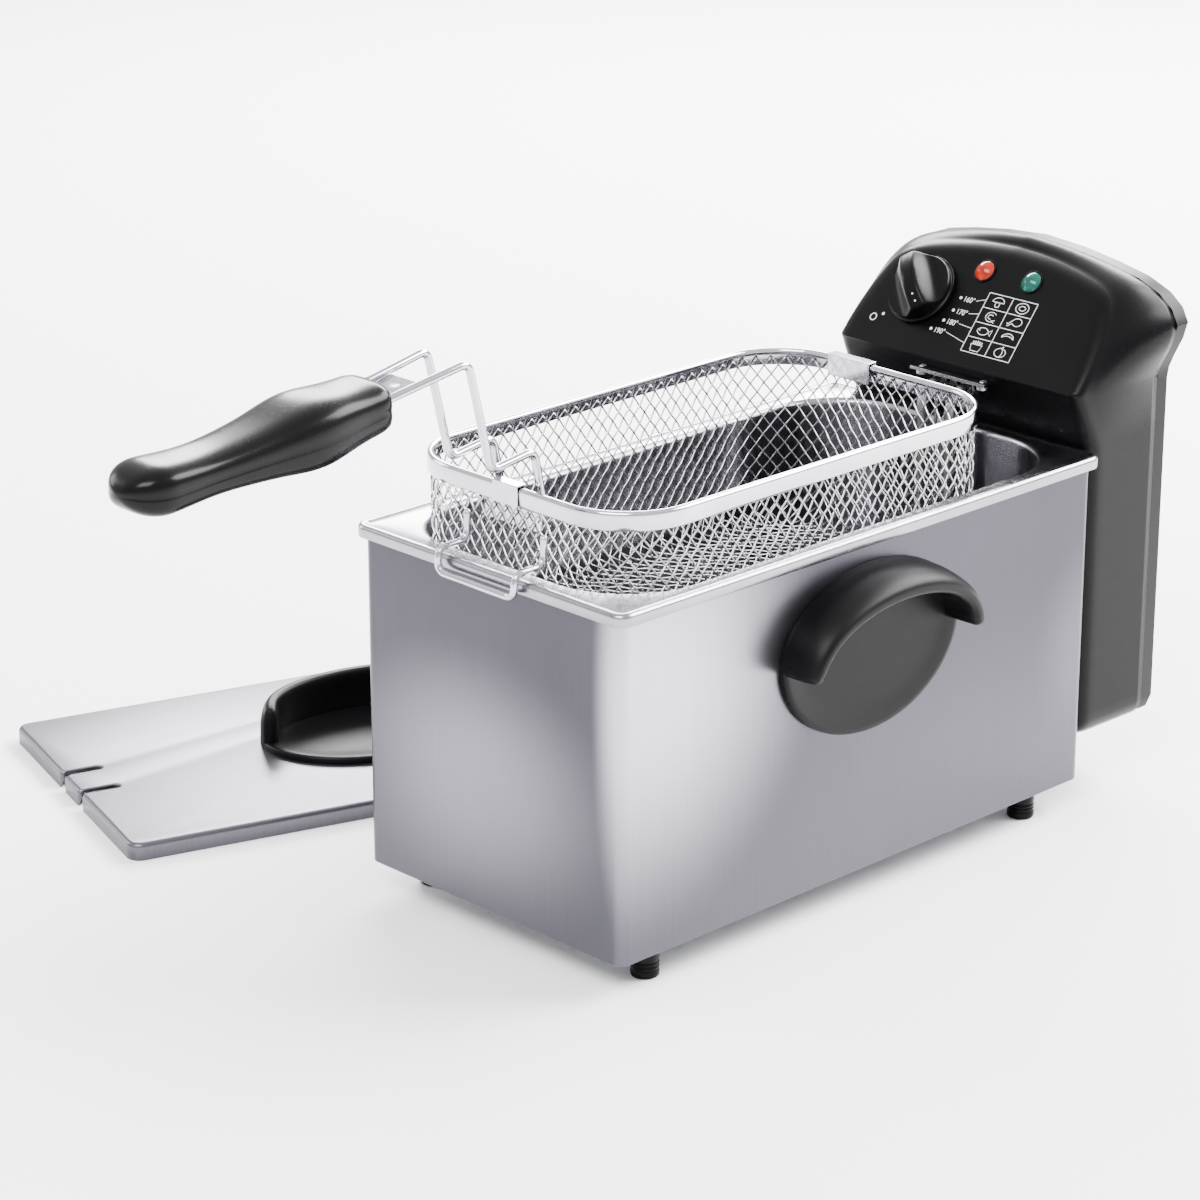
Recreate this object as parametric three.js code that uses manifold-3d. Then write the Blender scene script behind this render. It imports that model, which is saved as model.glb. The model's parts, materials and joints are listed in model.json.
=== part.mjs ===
// A counter-top deep fryer: brushed steel housing, lift-out oil pot, lift-off control head with
// the heating element, wire basket with a folding handle, and its lid lying on the table beside it.
// Millimetres, +Z up. The pieces are laid out round the centre of the housing on the table, with
// +Y towards the control head, and the whole group is then centred on its bounding box.
import * as THREE from 'three';
import { mergeVertices } from 'three/addons/utils/BufferGeometryUtils.js';
import Module from 'manifold-3d';

const wasm = await Module();
wasm.setup();

// ---------------------------------------------------------------- driving dimensions
const gap = 0.3; // between pieces that touch
const runGap = 0.6; // round pieces that slide or turn

const housing = { width: 190, length: 358, bottom: 18, top: 200, corner: 6, sheet: 1, footLip: 24 };
const foot = { radius: 7.5, inX: 15, inY: 32, bore: 2.3, screw: 1.9, head: 3.6, recess: 6 };
const basePlate = { sheet: 1.5, skirt: 10, wall: 1, ventReach: 30, ventHalf: 2, ventPitch: 14, ventPairs: 2 };
const sideHandle = { reach: 67, rise: 42, drop: 50, belowTop: 52, plate: 3.5, depth: 27, band: 11,
  screwAngle: 42, screw: 14 };
const guide = { stem: 6, head: 14, length: 80, belowTop: 60, plate: 3, pad: 2 };
const pot = { overhang: 4, rim: 7, sheet: 1.2, sideFlange: 13, frontFlange: 15, rearFlange: 11, corner: 46,
  aboveBottom: 42, fillet: 12, outerCorner: 8 };
const column = { gapToRim: 1.5, aboveBottom: 18, edge: 10, wall: 2.5, depth: 120 };
const head = { overRim: 11, panelLift: 39, slope: 50, neckLift: 8, seam: 55.5, cover: 12, swell: 2,
  swellAt: 0.45, swellLift: 62, screwPost: 4.5, screwBore: 2.2, screwDepth: 16 };
const dial = { x: -44.4, s: 37.1, knob: 21, skirt: 5, drum: 9, wing: 19, wingWidth: 9, shaft: 3, bore: 11,
  setTo: -49 };
const thermostatBox = { half: 17, halfHigh: 14, deep: 18, behind: 4, bush: 6, shaftEnd: 6 };
const terminals = { half: 24, front: 27.5, depth: 16, above: 48, high: 14 };
const lidSwitch = { half: 10, depth: 7.7, high: 16 };
const lamp = { s: 57.5, redX: -10.9, greenX: 22.7, lens: 6, stem: 4.2, dome: 3.4, bulb: 3, bulbLength: 12 };
const element = { tube: 3.25, legX: 10, exitLift: 27.5, inHead: 20.5, drop: 14, aboveFloor: 10, inner: 22,
  fromSide: 24, fromFront: 38, fromRear: 44, bridge: 28, bend: 13 };
const sensor = { radius: 3, pipe: 1.1, over: 16, front: -50, rear: 40, step: 6 };
const bracket = { half: 27, ahead: 8, length: 34, sheet: 2, screwX: 22, screwIn: 4.5, collar: 1.6, sleeve: 8 };
const basket = { play: 1, frontPlay: 2, rearPlay: 37.5, corner: 42, lift: 40, band: 10, bandSheet: 1.2,
  bandLip: 4, wire: 1.6, depth: 100, fillet: 10 };
const rearClip = { half: 15, sheet: 1 };
const handleWire = { half: 15, radius: 2.2, pivotIn: 12, pivotDrop: 14, tip: 22.5, bend: 6 };
const handleBracket = { half: 9, plate: 20.8, sheet: 1, ear: 1.5, eye: 5, plateDrop: 12 };
const drainHook = { half: 28, radius: 2, drop: 8, over: 4.5, clear: 2, bend: 7, up: 14 };
const grip = { ahead: 90, length: 150, halfWidth: 19.5, halfHeight: 12.5, lift: 62, fall: 12, wall: 2.5,
  waist: 0.2, thinWaist: 0.22, roundFrom: 0.86, square: 0.6, screwAt: 0.62, wireEnd: 0.27 };
const gripScrew = { boss: 4.8, bossHalf: 8, bore: 2.2, recess: 4.4, seat: -6, length: 9 };
const latch = { from: 12, to: 26, half: 0.6, tongue: 5, tongueFrom: 3, hole: 2.5 };
const lid = { height: 10, corner: 8, sheet: 1.2, slot: 6, slotDepth: 24, apart: 154.6, y: -43.4, turn: -18 };
const shank = { radius: 1.9, head: 3.6, headHeight: 2.6 };

// ---------------------------------------------------------------- derived places
const rimHalfX = housing.width / 2 + pot.overhang;
const rimHalfY = housing.length / 2 + pot.overhang;
const rimTop = housing.top + pot.rim;
const potFloor = housing.bottom + pot.aboveBottom;
const columnFront = rimHalfY + column.gapToRim;
const columnLow = housing.bottom + column.aboveBottom;
const columnHalf = housing.width / 2 - 7;
const panelFoot = rimHalfY - head.overRim;
const panelFootZ = housing.top + head.panelLift;
const neckZ = housing.top + head.neckLift;
const seam = columnFront + head.seam;
const headBack = seam + head.cover;
const guideHigh = housing.top - guide.belowTop;
const guideLow = guideHigh - guide.length;
const opening = {
  halfX: rimHalfX - pot.sideFlange,
  front: -rimHalfY + pot.frontFlange,
  rear: rimHalfY - pot.rearFlange,
};
const exitZ = housing.top + element.exitLift;
const inHead = columnFront + element.inHead;
const dropY = opening.rear - element.drop;
const elementLow = potFloor + element.aboveFloor;
const bracketZ = exitZ + element.tube + gap + 1;
const bracketFront = dropY + bracket.ahead;
const bracketRear = bracketFront + bracket.length;
const bracketScrewY = bracketFront + bracket.screwIn;
const basketHalf = opening.halfX - basket.play;
const basketFront = opening.front + basket.frontPlay;
const basketRear = dropY - basket.rearPlay;
const basketTop = rimTop + basket.lift;
const pivotY = basketFront + handleWire.pivotIn;
const pivotZ = basketTop - handleWire.pivotDrop;
const gripFront = basketFront - grip.ahead;
const gripFrontZ = basketTop + grip.lift;
const gripTailZ = gripFrontZ - grip.fall;
const handleZ = housing.top - sideHandle.belowTop;
const lidX = -housing.width / 2 - lid.apart;
const narrowFlange = Math.min(pot.sideFlange, pot.frontFlange, pot.rearFlange);
const seatLip = narrowFlange - pot.overhang - pot.sheet - runGap; // turned in at the top, clear of the tub
const far = 400; // past every piece, for cutting tools

const steel = new THREE.MeshStandardMaterial({ color: 0x9a98a4, roughness: 0.38, metalness: 0.95 });
const polished = new THREE.MeshStandardMaterial({ color: 0xc9c9d0, roughness: 0.15, metalness: 1 });
const black = new THREE.MeshStandardMaterial({ color: 0x232326, roughness: 0.5, metalness: 0 });
const glossBlack = new THREE.MeshStandardMaterial({ color: 0x0d0d0f, roughness: 0.2, metalness: 0 });
const zinc = new THREE.MeshStandardMaterial({ color: 0x8f9298, roughness: 0.4, metalness: 0.9 });
const redLens = new THREE.MeshStandardMaterial({ color: 0xc8320a, roughness: 0.1, metalness: 0 });
const greenLens = new THREE.MeshStandardMaterial({ color: 0x17796a, roughness: 0.1, metalness: 0 });
const ivory = new THREE.MeshStandardMaterial({ color: 0xd8d2c0, roughness: 0.6, metalness: 0 });

// ---------------------------------------------------------------- shape helpers
// A closed body from any three.js geometry: shared vertices merged, faces turned outwards.
function solid(geometry) {
  geometry.deleteAttribute('normal');
  geometry.deleteAttribute('uv');
  const merged = mergeVertices(geometry.index ? geometry : geometry.clone(), 1e-4);
  const place = merged.attributes.position;
  const corner = [0, 1, 2].map(() => new THREE.Vector3());
  let index = Array.from(merged.index.array);
  let volume = 0;
  for (let t = 0; t < index.length; t += 3) {
    corner.forEach((c, k) => c.fromBufferAttribute(place, index[t + k]));
    volume += corner[0].dot(corner[1].clone().cross(corner[2]));
  }
  if (volume < 0) index = index.map((_, i) => index[i - (i % 3) + 2 - (i % 3)]);
  const mesh = new wasm.Mesh({
    numProp: 3, vertProperties: Float32Array.from(place.array), triVerts: Uint32Array.from(index),
  });
  return new wasm.Manifold(mesh);
}

function geometryOf(body) {
  const mesh = body.getMesh();
  const geometry = new THREE.BufferGeometry();
  geometry.setAttribute('position', new THREE.BufferAttribute(mesh.vertProperties, 3));
  geometry.setIndex(new THREE.BufferAttribute(mesh.triVerts, 1));
  return geometry;
}

// A rectangle with rounded corners, centred on (x, y).
function roundedRectangle(width, length, radius, x = 0, y = 0) {
  const [a, b] = [width / 2, length / 2];
  const shape = new THREE.Shape();
  shape.absarc(x + a - radius, y - b + radius, radius, -Math.PI / 2, 0);
  shape.absarc(x + a - radius, y + b - radius, radius, 0, Math.PI / 2);
  shape.absarc(x - a + radius, y + b - radius, radius, Math.PI / 2, Math.PI);
  shape.absarc(x - a + radius, y - b + radius, radius, Math.PI, 1.5 * Math.PI);
  shape.closePath();
  return shape;
}

// A shape drawn in two axes and extruded along the third: 'z' reads (x, y), 'y' reads (x, z), 'x' reads (y, z).
const bases = {
  z: new THREE.Matrix4(),
  y: new THREE.Matrix4().makeBasis(
    new THREE.Vector3(1, 0, 0), new THREE.Vector3(0, 0, 1), new THREE.Vector3(0, -1, 0)),
  x: new THREE.Matrix4().makeBasis(
    new THREE.Vector3(0, 1, 0), new THREE.Vector3(0, 0, 1), new THREE.Vector3(1, 0, 0)),
};

function extrude(shape, axis, from, to, curveSegments = 3) {
  const geometry = new THREE.ExtrudeGeometry(shape, { depth: to - from, bevelEnabled: false, curveSegments });
  geometry.translate(0, 0, axis === 'y' ? -to : from);
  geometry.applyMatrix4(bases[axis]);
  return solid(geometry);
}

function polygon(points) {
  return new THREE.Shape(points.map(([a, b]) => new THREE.Vector2(a, b)));
}

function circle(radius, a = 0, b = 0) {
  const shape = new THREE.Shape();
  shape.absarc(a, b, radius, 0, 2 * Math.PI);
  return shape;
}

function block([x0, x1], [y0, y1], [z0, z1]) {
  const geometry = new THREE.BoxGeometry(x1 - x0, y1 - y0, z1 - z0);
  geometry.translate((x0 + x1) / 2, (y0 + y1) / 2, (z0 + z1) / 2);
  return solid(geometry);
}

// A turned piece about Z at (x, y): the profile lists [radius, z] and starts and ends on the axis,
// or comes back to its own start.
function turned(profile, segments = 12, x = 0, y = 0) {
  const geometry = new THREE.LatheGeometry(profile.map(([r, z]) => new THREE.Vector2(r, z)), segments);
  geometry.rotateX(Math.PI / 2);
  geometry.translate(x, y, 0);
  return solid(geometry);
}

function peg(radius, from, to, x, s, segments = 12) {
  return turned([[0, from], [radius, from], [radius, to], [0, to]], segments, x, s);
}

// Outline moved inwards by a distance; the corners run anticlockwise.
function inset(points, distance) {
  return points.map((point, i) => {
    const before = points[(i + points.length - 1) % points.length];
    const after = points[(i + 1) % points.length];
    const normals = [[before, point], [point, after]].map(([p, q]) => {
      const length = Math.hypot(q[0] - p[0], q[1] - p[1]);
      return [-(q[1] - p[1]) / length, (q[0] - p[0]) / length];
    });
    const sum = [normals[0][0] + normals[1][0], normals[0][1] + normals[1][1]];
    const scale = (2 * distance) / (sum[0] ** 2 + sum[1] ** 2);
    return [point[0] + sum[0] * scale, point[1] + sum[1] * scale];
  });
}

// Skin through rings of 3-D points, closed by a fan at each end.
function loft(rings) {
  const count = rings[0].length;
  const centres = [rings[0], rings.at(-1)].map((ring) => {
    const sum = ring.reduce((total, point) => total.add(point), new THREE.Vector3());
    return sum.divideScalar(count);
  });
  const points = [...rings.flat(), ...centres];
  const [startCentre, endCentre] = [rings.length * count, rings.length * count + 1];
  const last = (rings.length - 1) * count;
  const index = [];
  for (let i = 0; i < count; i += 1) {
    const next = (i + 1) % count;
    for (let k = 0; k < last; k += count) {
      index.push(k + i, k + next, k + count + next);
      index.push(k + i, k + count + next, k + count + i);
    }
    index.push(startCentre, next, i, endCentre, last + i, last + next);
  }
  const geometry = new THREE.BufferGeometry();
  const places = points.flatMap((p) => [p.x, p.y, p.z]);
  geometry.setAttribute('position', new THREE.Float32BufferAttribute(places, 3));
  geometry.setIndex(index);
  return solid(geometry);
}

// Bent wire: straight runs between the corners, each corner an arc of the bend radius.
class BentWire extends THREE.CurvePath {
  constructor(corners, bend, steps) {
    super();
    const points = corners.map((c) => new THREE.Vector3(...c));
    let start = points[0];
    for (let i = 1; i < points.length - 1; i += 1) {
      const [into, out] = [points[i - 1], points[i + 1]].map((p) => p.clone().sub(points[i]));
      const half = into.angleTo(out) / 2;
      const reach = Math.min(bend / Math.tan(half), 0.49 * into.length(), 0.49 * out.length());
      const [enter, leave] = [into, out].map((v) => v.setLength(reach).add(points[i]));
      this.add(new THREE.LineCurve3(start, enter));
      this.add(new THREE.QuadraticBezierCurve3(enter, points[i], leave));
      start = leave;
    }
    this.add(new THREE.LineCurve3(start, points.at(-1)));
    this.stations = this.getPoints(steps);
  }

  getSpacedPoints() {
    return this.stations;
  }

  getTangentAt(u, target = new THREE.Vector3()) {
    const last = this.stations.length - 1;
    const at = Math.round(u * last);
    const [before, after] = [Math.max(at - 1, 0), Math.min(at + 1, last)];
    return target.copy(this.stations[after]).sub(this.stations[before]).normalize();
  }
}

function wire(corners, radius, bend, sides = 8, steps = 4) {
  const path = new BentWire(corners, bend, steps);
  const geometry = new THREE.ExtrudeGeometry(circle(radius), {
    extrudePath: path, steps: path.stations.length - 1, bevelEnabled: false, curveSegments: sides / 2,
  });
  return solid(geometry);
}

const fryer = new THREE.Group();

function piece(name, body, material, group = fryer) {
  const mesh = new THREE.Mesh(geometryOf(body), material);
  mesh.name = name;
  group.add(mesh);
  return mesh;
}

// A pan-head screw on +Z: head below its seat at z = 0, shank above.
function screw(length, headRadius = shank.head, headHeight = shank.headHeight) {
  return turned([[0, -headHeight], [headRadius, -headHeight], [headRadius, 0], [shank.radius, 0],
    [shank.radius, length], [0, length]], 10);
}

// ---------------------------------------------------------------- housing
const footPlaces = ['front', 'rear'].flatMap((end) => ['left', 'right'].map((side) => ({
  name: `${end}_${side}`,
  x: (side === 'left' ? -1 : 1) * (housing.width / 2 - foot.inX),
  y: (end === 'front' ? -1 : 1) * (housing.length / 2 - foot.inY),
})));
const handleScrewAngle = THREE.MathUtils.degToRad(sideHandle.screwAngle);
const handleScrew = {
  y: (sideHandle.reach - sideHandle.band / 2) * Math.cos(handleScrewAngle),
  rise: (sideHandle.rise - sideHandle.band / 2) * Math.sin(handleScrewAngle),
};

function ring(width, length, corner, wall, from, to) {
  const outer = extrude(roundedRectangle(width, length, corner), 'z', from, to);
  const inner = roundedRectangle(width - 2 * wall, length - 2 * wall, Math.max(corner - wall, 1));
  return outer.subtract(extrude(inner, 'z', from - 1, to + 1));
}

// The wrapper: four walls in one, turned in at the top for the pot and at the bottom for the base plate.
function housingShell() {
  const { width, length, corner, sheet, bottom, top, footLip } = housing;
  let shell = ring(width, length, corner, sheet, bottom, top);
  shell = shell.add(ring(width, length, corner, seatLip, top - sheet, top));
  shell = shell.add(ring(width, length, corner, footLip, bottom, bottom + sheet));
  for (const place of footPlaces) {
    shell = shell.subtract(peg(foot.bore, 0, 2 * housing.bottom, place.x, place.y));
  }
  for (const y of [-handleScrew.y, handleScrew.y]) {
    const bore = circle(foot.bore, y, handleZ + handleScrew.rise);
    shell = shell.subtract(extrude(bore, 'x', -width, width, 6));
  }
  piece('housing_shell', shell, steel);
}

// The vented tray that closes the bottom, held by the foot screws.
function baseTray() {
  const low = housing.bottom + housing.sheet + gap;
  const inside = housing.sheet + gap;
  const [width, length] = [housing.width - 2 * inside, housing.length - 2 * inside];
  const corner = housing.corner - inside;
  let tray = extrude(roundedRectangle(width, length, corner), 'z', low, low + basePlate.sheet);
  tray = tray.add(ring(width, length, corner, basePlate.wall, low, low + basePlate.skirt));
  for (const place of footPlaces) {
    tray = tray.subtract(peg(foot.bore, 0, 2 * housing.bottom, place.x, place.y));
  }
  const { ventReach, ventHalf, ventPitch, ventPairs } = basePlate;
  for (let vent = -ventPairs; vent <= ventPairs; vent += 1) {
    const y = vent * ventPitch;
    const slot = block([-ventReach, ventReach], [y - ventHalf, y + ventHalf], [low - 1, low + 3]);
    tray = tray.subtract(slot);
  }
  piece('base_plate', tray, zinc);
}

// Feet: plastic cups with a recess for the screw that holds foot, lip and base plate together.
function feet() {
  const top = housing.bottom - gap;
  const { bore, head: headRadius, recess, radius } = foot;
  const hollow = headRadius + 0.5;
  const cup = [[bore, recess], [hollow, recess], [hollow, 0], [radius - 0.8, 0], [radius, 1], [radius, top],
    [bore, top], [bore, recess]];
  const screwLength = housing.bottom + housing.sheet + 2 * gap + basePlate.sheet + 5 - recess;
  for (const place of footPlaces) {
    piece(`foot_${place.name}`, turned(cup, 16, place.x, place.y), black);
    const held = piece(`foot_screw_${place.name}`, screw(screwLength), zinc);
    held.position.set(place.x, place.y, recess - gap);
  }
}

// Side handles: a fan-shaped plate on the wall under an arched hood that the fingers pull up on.
// The moulding of all three handles: a fan plate on the x = 0 plane with a hood over its upper half.
function handleMoulding() {
  const { reach, rise, drop, plate, depth, band } = sideHandle;
  const fan = new THREE.Shape();
  fan.absellipse(0, 0, reach, rise, 0, Math.PI, false, 0);
  fan.absellipse(0, 0, reach, drop, Math.PI, 2 * Math.PI, false, 0);
  const hood = new THREE.Shape();
  hood.absellipse(0, 0, reach, rise, 0, Math.PI, false, 0);
  hood.absellipse(0, 0, reach - band, rise - band, Math.PI, 0, true, 0);
  hood.closePath();
  const slope = polygon([[-1, rise - 60], [depth - 3, rise - 60], [depth, rise - 22],
    [depth - 4, rise - 9], [depth - 12, rise - 2], [4, rise + 1], [-1, rise + 1]]);
  const sloped = extrude(slope, 'y', -reach - 1, reach + 1);
  let handle = extrude(fan, 'x', 0, plate, 8);
  handle = handle.add(extrude(hood, 'x', 0, depth, 8).intersect(sloped));
  for (const y of [-handleScrew.y, handleScrew.y]) {
    handle = handle.subtract(extrude(circle(foot.screw + gap, y, handleScrew.rise), 'x', -1, sideHandle.screw, 6));
  }
  return handle;
}

function sideHandles() {
  const wall = housing.width / 2 + gap;
  const right = piece('side_handle_right', handleMoulding(), black);
  right.position.set(wall, 0, handleZ);
  const left = piece('side_handle_left', handleMoulding(), black);
  left.rotation.z = Math.PI;
  left.position.set(-wall, 0, handleZ);
  for (const [side, sign] of [['left', -1], ['right', 1]]) {
    for (const [end, y] of [['front', -handleScrew.y], ['rear', handleScrew.y]]) {
      const held = piece(`handle_screw_${side}_${end}`, screw(sideHandle.screw), zinc);
      held.rotation.y = (sign * Math.PI) / 2;
      held.position.set(sign * (housing.width / 2 - housing.sheet - gap), y, handleZ + handleScrew.rise);
    }
  }
}

// The T-shaped rail on the rear wall: the control head slides down over it.
function guideRail() {
  const start = housing.length / 2 + gap;
  const neck = columnFront + column.wall + runGap;
  const stem = block([-guide.stem, guide.stem], [start, neck + 1], [guideLow, guideHigh]);
  const flange = block([-guide.head, guide.head], [neck, neck + guide.plate], [guideLow, guideHigh]);
  const pad = block([-guide.head, guide.head], [start, start + guide.pad], [guideLow, guideHigh]);
  piece('guide_rail', stem.add(flange).add(pad), zinc);
}

// ---------------------------------------------------------------- oil pot
// A round-cornered tub with a filleted floor, open upwards past z = top.
function tub(width, front, rear, corner, floor, fillet, top) {
  const [wide, long] = [width - 2 * fillet, rear - front - 2 * fillet];
  const shape = roundedRectangle(wide, long, corner - fillet, 0, (front + rear) / 2);
  const geometry = new THREE.ExtrudeGeometry(shape, {
    depth: top - floor,
    bevelEnabled: true,
    bevelThickness: fillet,
    bevelSize: fillet,
    bevelSegments: 3,
    curveSegments: 4,
  });
  geometry.translate(0, 0, floor + fillet);
  return solid(geometry).subtract(block([-width, width], [front - far, rear + far], [top, top + far]));
}

function oilPot() {
  const { sheet, corner, fillet, outerCorner } = pot;
  const rim = extrude(roundedRectangle(2 * rimHalfX, 2 * rimHalfY, outerCorner), 'z', housing.top + gap, rimTop)
    .subtract(extrude(
      roundedRectangle(2 * (rimHalfX - sheet), 2 * (rimHalfY - sheet), outerCorner - sheet), 'z',
      housing.top - 1, rimTop - sheet));
  const { halfX, front, rear } = opening;
  const [outer, cornerOut, top] = [halfX + sheet, corner + sheet, rimTop - 0.4];
  const outside = tub(2 * outer, front - sheet, rear + sheet, cornerOut, potFloor, fillet, top);
  const inside = tub(2 * halfX, front, rear, corner, potFloor + sheet, fillet, rimTop + 20);
  piece('oil_pot', rim.add(outside).subtract(inside), steel);
}

// ---------------------------------------------------------------- control head
// Half outlines from the top middle down to the lower corner: across the panel, and across the seam.
// Both are drawn for a column of half width drawnHalf and widened with it; the seam's heights are
// above the housing.
const drawnHalf = 88;
const drawnPanel = [[0, 73], [20, 72], [38, 69], [56, 65.5], [68, 61.5], [76, 55], [80, 42], [84, 27],
  [87.5, 12], [87.5, 4], [84, 0]];
const drawnSeam = [[0, 99], [28, 97], [52, 93.5], [72, 89.5], [87, 83.5], [96, 76.5], [100.5, 68], [97.5, 58],
  [92, 47], [89, 40], [drawnHalf, 34]];
const panelHalf = drawnPanel.map(([x, s]) => [(x * columnHalf) / drawnHalf, s]);
const seamHalf = drawnSeam.map(([x, z]) => [(x * columnHalf) / drawnHalf, housing.top + z]);
const mirrored = (half) => [...half.slice(1).map(([x, z]) => [-x, z]), ...half.toReversed()];
const slopeAngle = THREE.MathUtils.degToRad(head.slope);

function onPanel([x, s], depth = 0) {
  return new THREE.Vector3(
    x,
    panelFoot + s * Math.cos(slopeAngle) + depth * Math.sin(slopeAngle),
    panelFootZ + s * Math.sin(slopeAngle) - depth * Math.cos(slopeAngle),
  );
}

// The head and column as one volume, every face moved inwards by the wall when it is the cavity.
function headVolume(wall) {
  const end = wall > 0 ? seam + 1 : seam;
  const front = inset(mirrored(panelHalf), wall).map((point) => onPanel(point, wall));
  const rear = inset(mirrored(seamHalf), wall).map(([x, z]) => new THREE.Vector3(x, end, z));
  const middle = front.map((point, i) => {
    const between = point.clone().lerp(rear[i], head.swellAt);
    const out = new THREE.Vector3(between.x, 0, between.z - housing.top - head.swellLift).setLength(head.swell);
    return between.add(out);
  });
  const [under, within] = [onPanel([0, 1], 0.1), onPanel([0, 30], 0.1)];
  const neck = [[under.y, under.z], [columnFront, neckZ], [seam + 20, neckZ], [seam + 20, within.z],
    [within.y, within.z]];
  const neckHalf = columnHalf - 2 - wall;
  const wedge = extrude(polygon(inset(neck, wall)), 'x', -neckHalf, neckHalf);
  const { edge, depth } = column;
  const [wide, deep] = [2 * (columnHalf - wall), depth - 2 * wall];
  const plan = roundedRectangle(wide, deep, edge - wall, 0, columnFront + depth / 2);
  const post = extrude(plan, 'z', columnLow + wall, panelFootZ + 6, 4);
  return loft([front, middle, rear]).add(wedge).add(post)
    .subtract(block([-far, far], [end, end + far], [0, far]));
}

const coverScrewX = columnHalf - 10;
const coverScrews = [columnLow + 26, neckZ - 12].flatMap((z) => [[-coverScrewX, z], [coverScrewX, z]]);
const panelFrame = new THREE.Group();
panelFrame.rotation.x = slopeAngle;
panelFrame.position.set(0, panelFoot, panelFootZ);
fryer.add(panelFrame);

// A solid given in the panel's own frame (x across, y up the slope, z out), turned into the fryer's frame.
function fromPanel(body) {
  panelFrame.updateMatrix();
  return solid(geometryOf(body).applyMatrix4(panelFrame.matrix));
}

function frontCasing() {
  const { wall } = column;
  const low = columnLow;
  let casing = headVolume(0).subtract(headVolume(wall));
  for (const [x, z] of coverScrews) {
    const post = extrude(circle(head.screwPost, x, z), 'y', columnFront + 1, seam, 4);
    const bore = extrude(circle(head.screwBore, x, z), 'y', seam - head.screwDepth, seam + 1, 4);
    casing = casing.add(post).subtract(bore);
  }
  const slotTop = guideHigh + runGap;
  const stem = guide.stem + runGap;
  const flange = guide.head + runGap;
  casing = casing.subtract(block([-stem, stem], [columnFront - 1, columnFront + wall + 1], [low - 1, slotTop]));
  const flangeEnd = columnFront + wall + runGap + guide.plate + runGap;
  casing = casing.subtract(block([-flange, flange], [columnFront - 1, flangeEnd], [low - 1, low + wall + 1]));
  casing = casing.subtract(fromPanel(peg(dial.shaft + runGap, -9, 9, dial.x, dial.s)));
  for (const x of [lamp.redX, lamp.greenX]) {
    casing = casing.subtract(fromPanel(peg(lamp.stem + gap, -9, 9, x, lamp.s)));
  }
  const reach = bracket.half + gap;
  const inside = columnFront + column.wall;
  casing = casing.subtract(block([-reach, reach], [bracketFront, inside],
    [bracketZ - gap, bracketZ + bracket.sheet + gap]));
  const around = element.tube + bracket.collar + 2 * gap;
  const legs = element.legX + around;
  casing = casing.subtract(block([-legs, legs], [bracketFront, inside], [exitZ - around, bracketZ + gap]));
  piece('head_front_casing', casing, black);
}

const backOutline = mirrored([...seamHalf, [columnHalf, housing.top + 26], [columnHalf, columnLow + 10],
  [columnHalf - 3, columnLow + 3], [columnHalf - 10, columnLow]]);
const gland = { z: columnLow + 22, bore: 3.6, neck: 6, flange: 9, seat: 1.5, half: 8 };
const reset = { x: 30, z: columnLow + 84, radius: 3.2, travel: 2, cutOut: 9, cutOutDepth: 10, behind: 4,
  collar: 1.6 };
const coverEdge = { steps: [[0, 3], [1, 1], [3, 0]], boss: 5.5, sink: 4, sinkDepth: 3.5, screw: 20 };

function backCover() {
  const { wall } = column;
  const start = seam + gap;
  const layers = coverEdge.steps.map(([inwards, short]) => (
    extrude(polygon(inwards > 0 ? inset(backOutline, inwards) : backOutline), 'y', start, headBack - short)));
  let cover = layers[0].add(layers[1]).add(layers[2])
    .subtract(extrude(polygon(inset(backOutline, wall)), 'y', start - 1, headBack - wall));
  for (const [x, z] of coverScrews) {
    const sinkFrom = headBack - coverEdge.sinkDepth;
    cover = cover.add(extrude(circle(coverEdge.boss, x, z), 'y', start, headBack - 1, 4));
    cover = cover.subtract(extrude(circle(head.screwBore, x, z), 'y', start - 1, headBack + 1, 4));
    cover = cover.subtract(extrude(circle(coverEdge.sink, x, z), 'y', sinkFrom, headBack + 1, 4));
  }
  cover = cover.subtract(extrude(circle(gland.neck + gap, 0, gland.z), 'y', start - 1, headBack + 1, 6));
  cover = cover.subtract(extrude(circle(reset.radius + runGap, reset.x, reset.z), 'y', start, headBack + 1, 6));
  piece('head_back_cover', cover, black);
  coverScrews.forEach(([x, z], i) => {
    const held = piece(`cover_screw_${i + 1}`, screw(coverEdge.screw), zinc);
    held.rotation.x = Math.PI / 2;
    held.position.set(x, headBack - coverEdge.sinkDepth + gap, z);
  });
}

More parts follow.
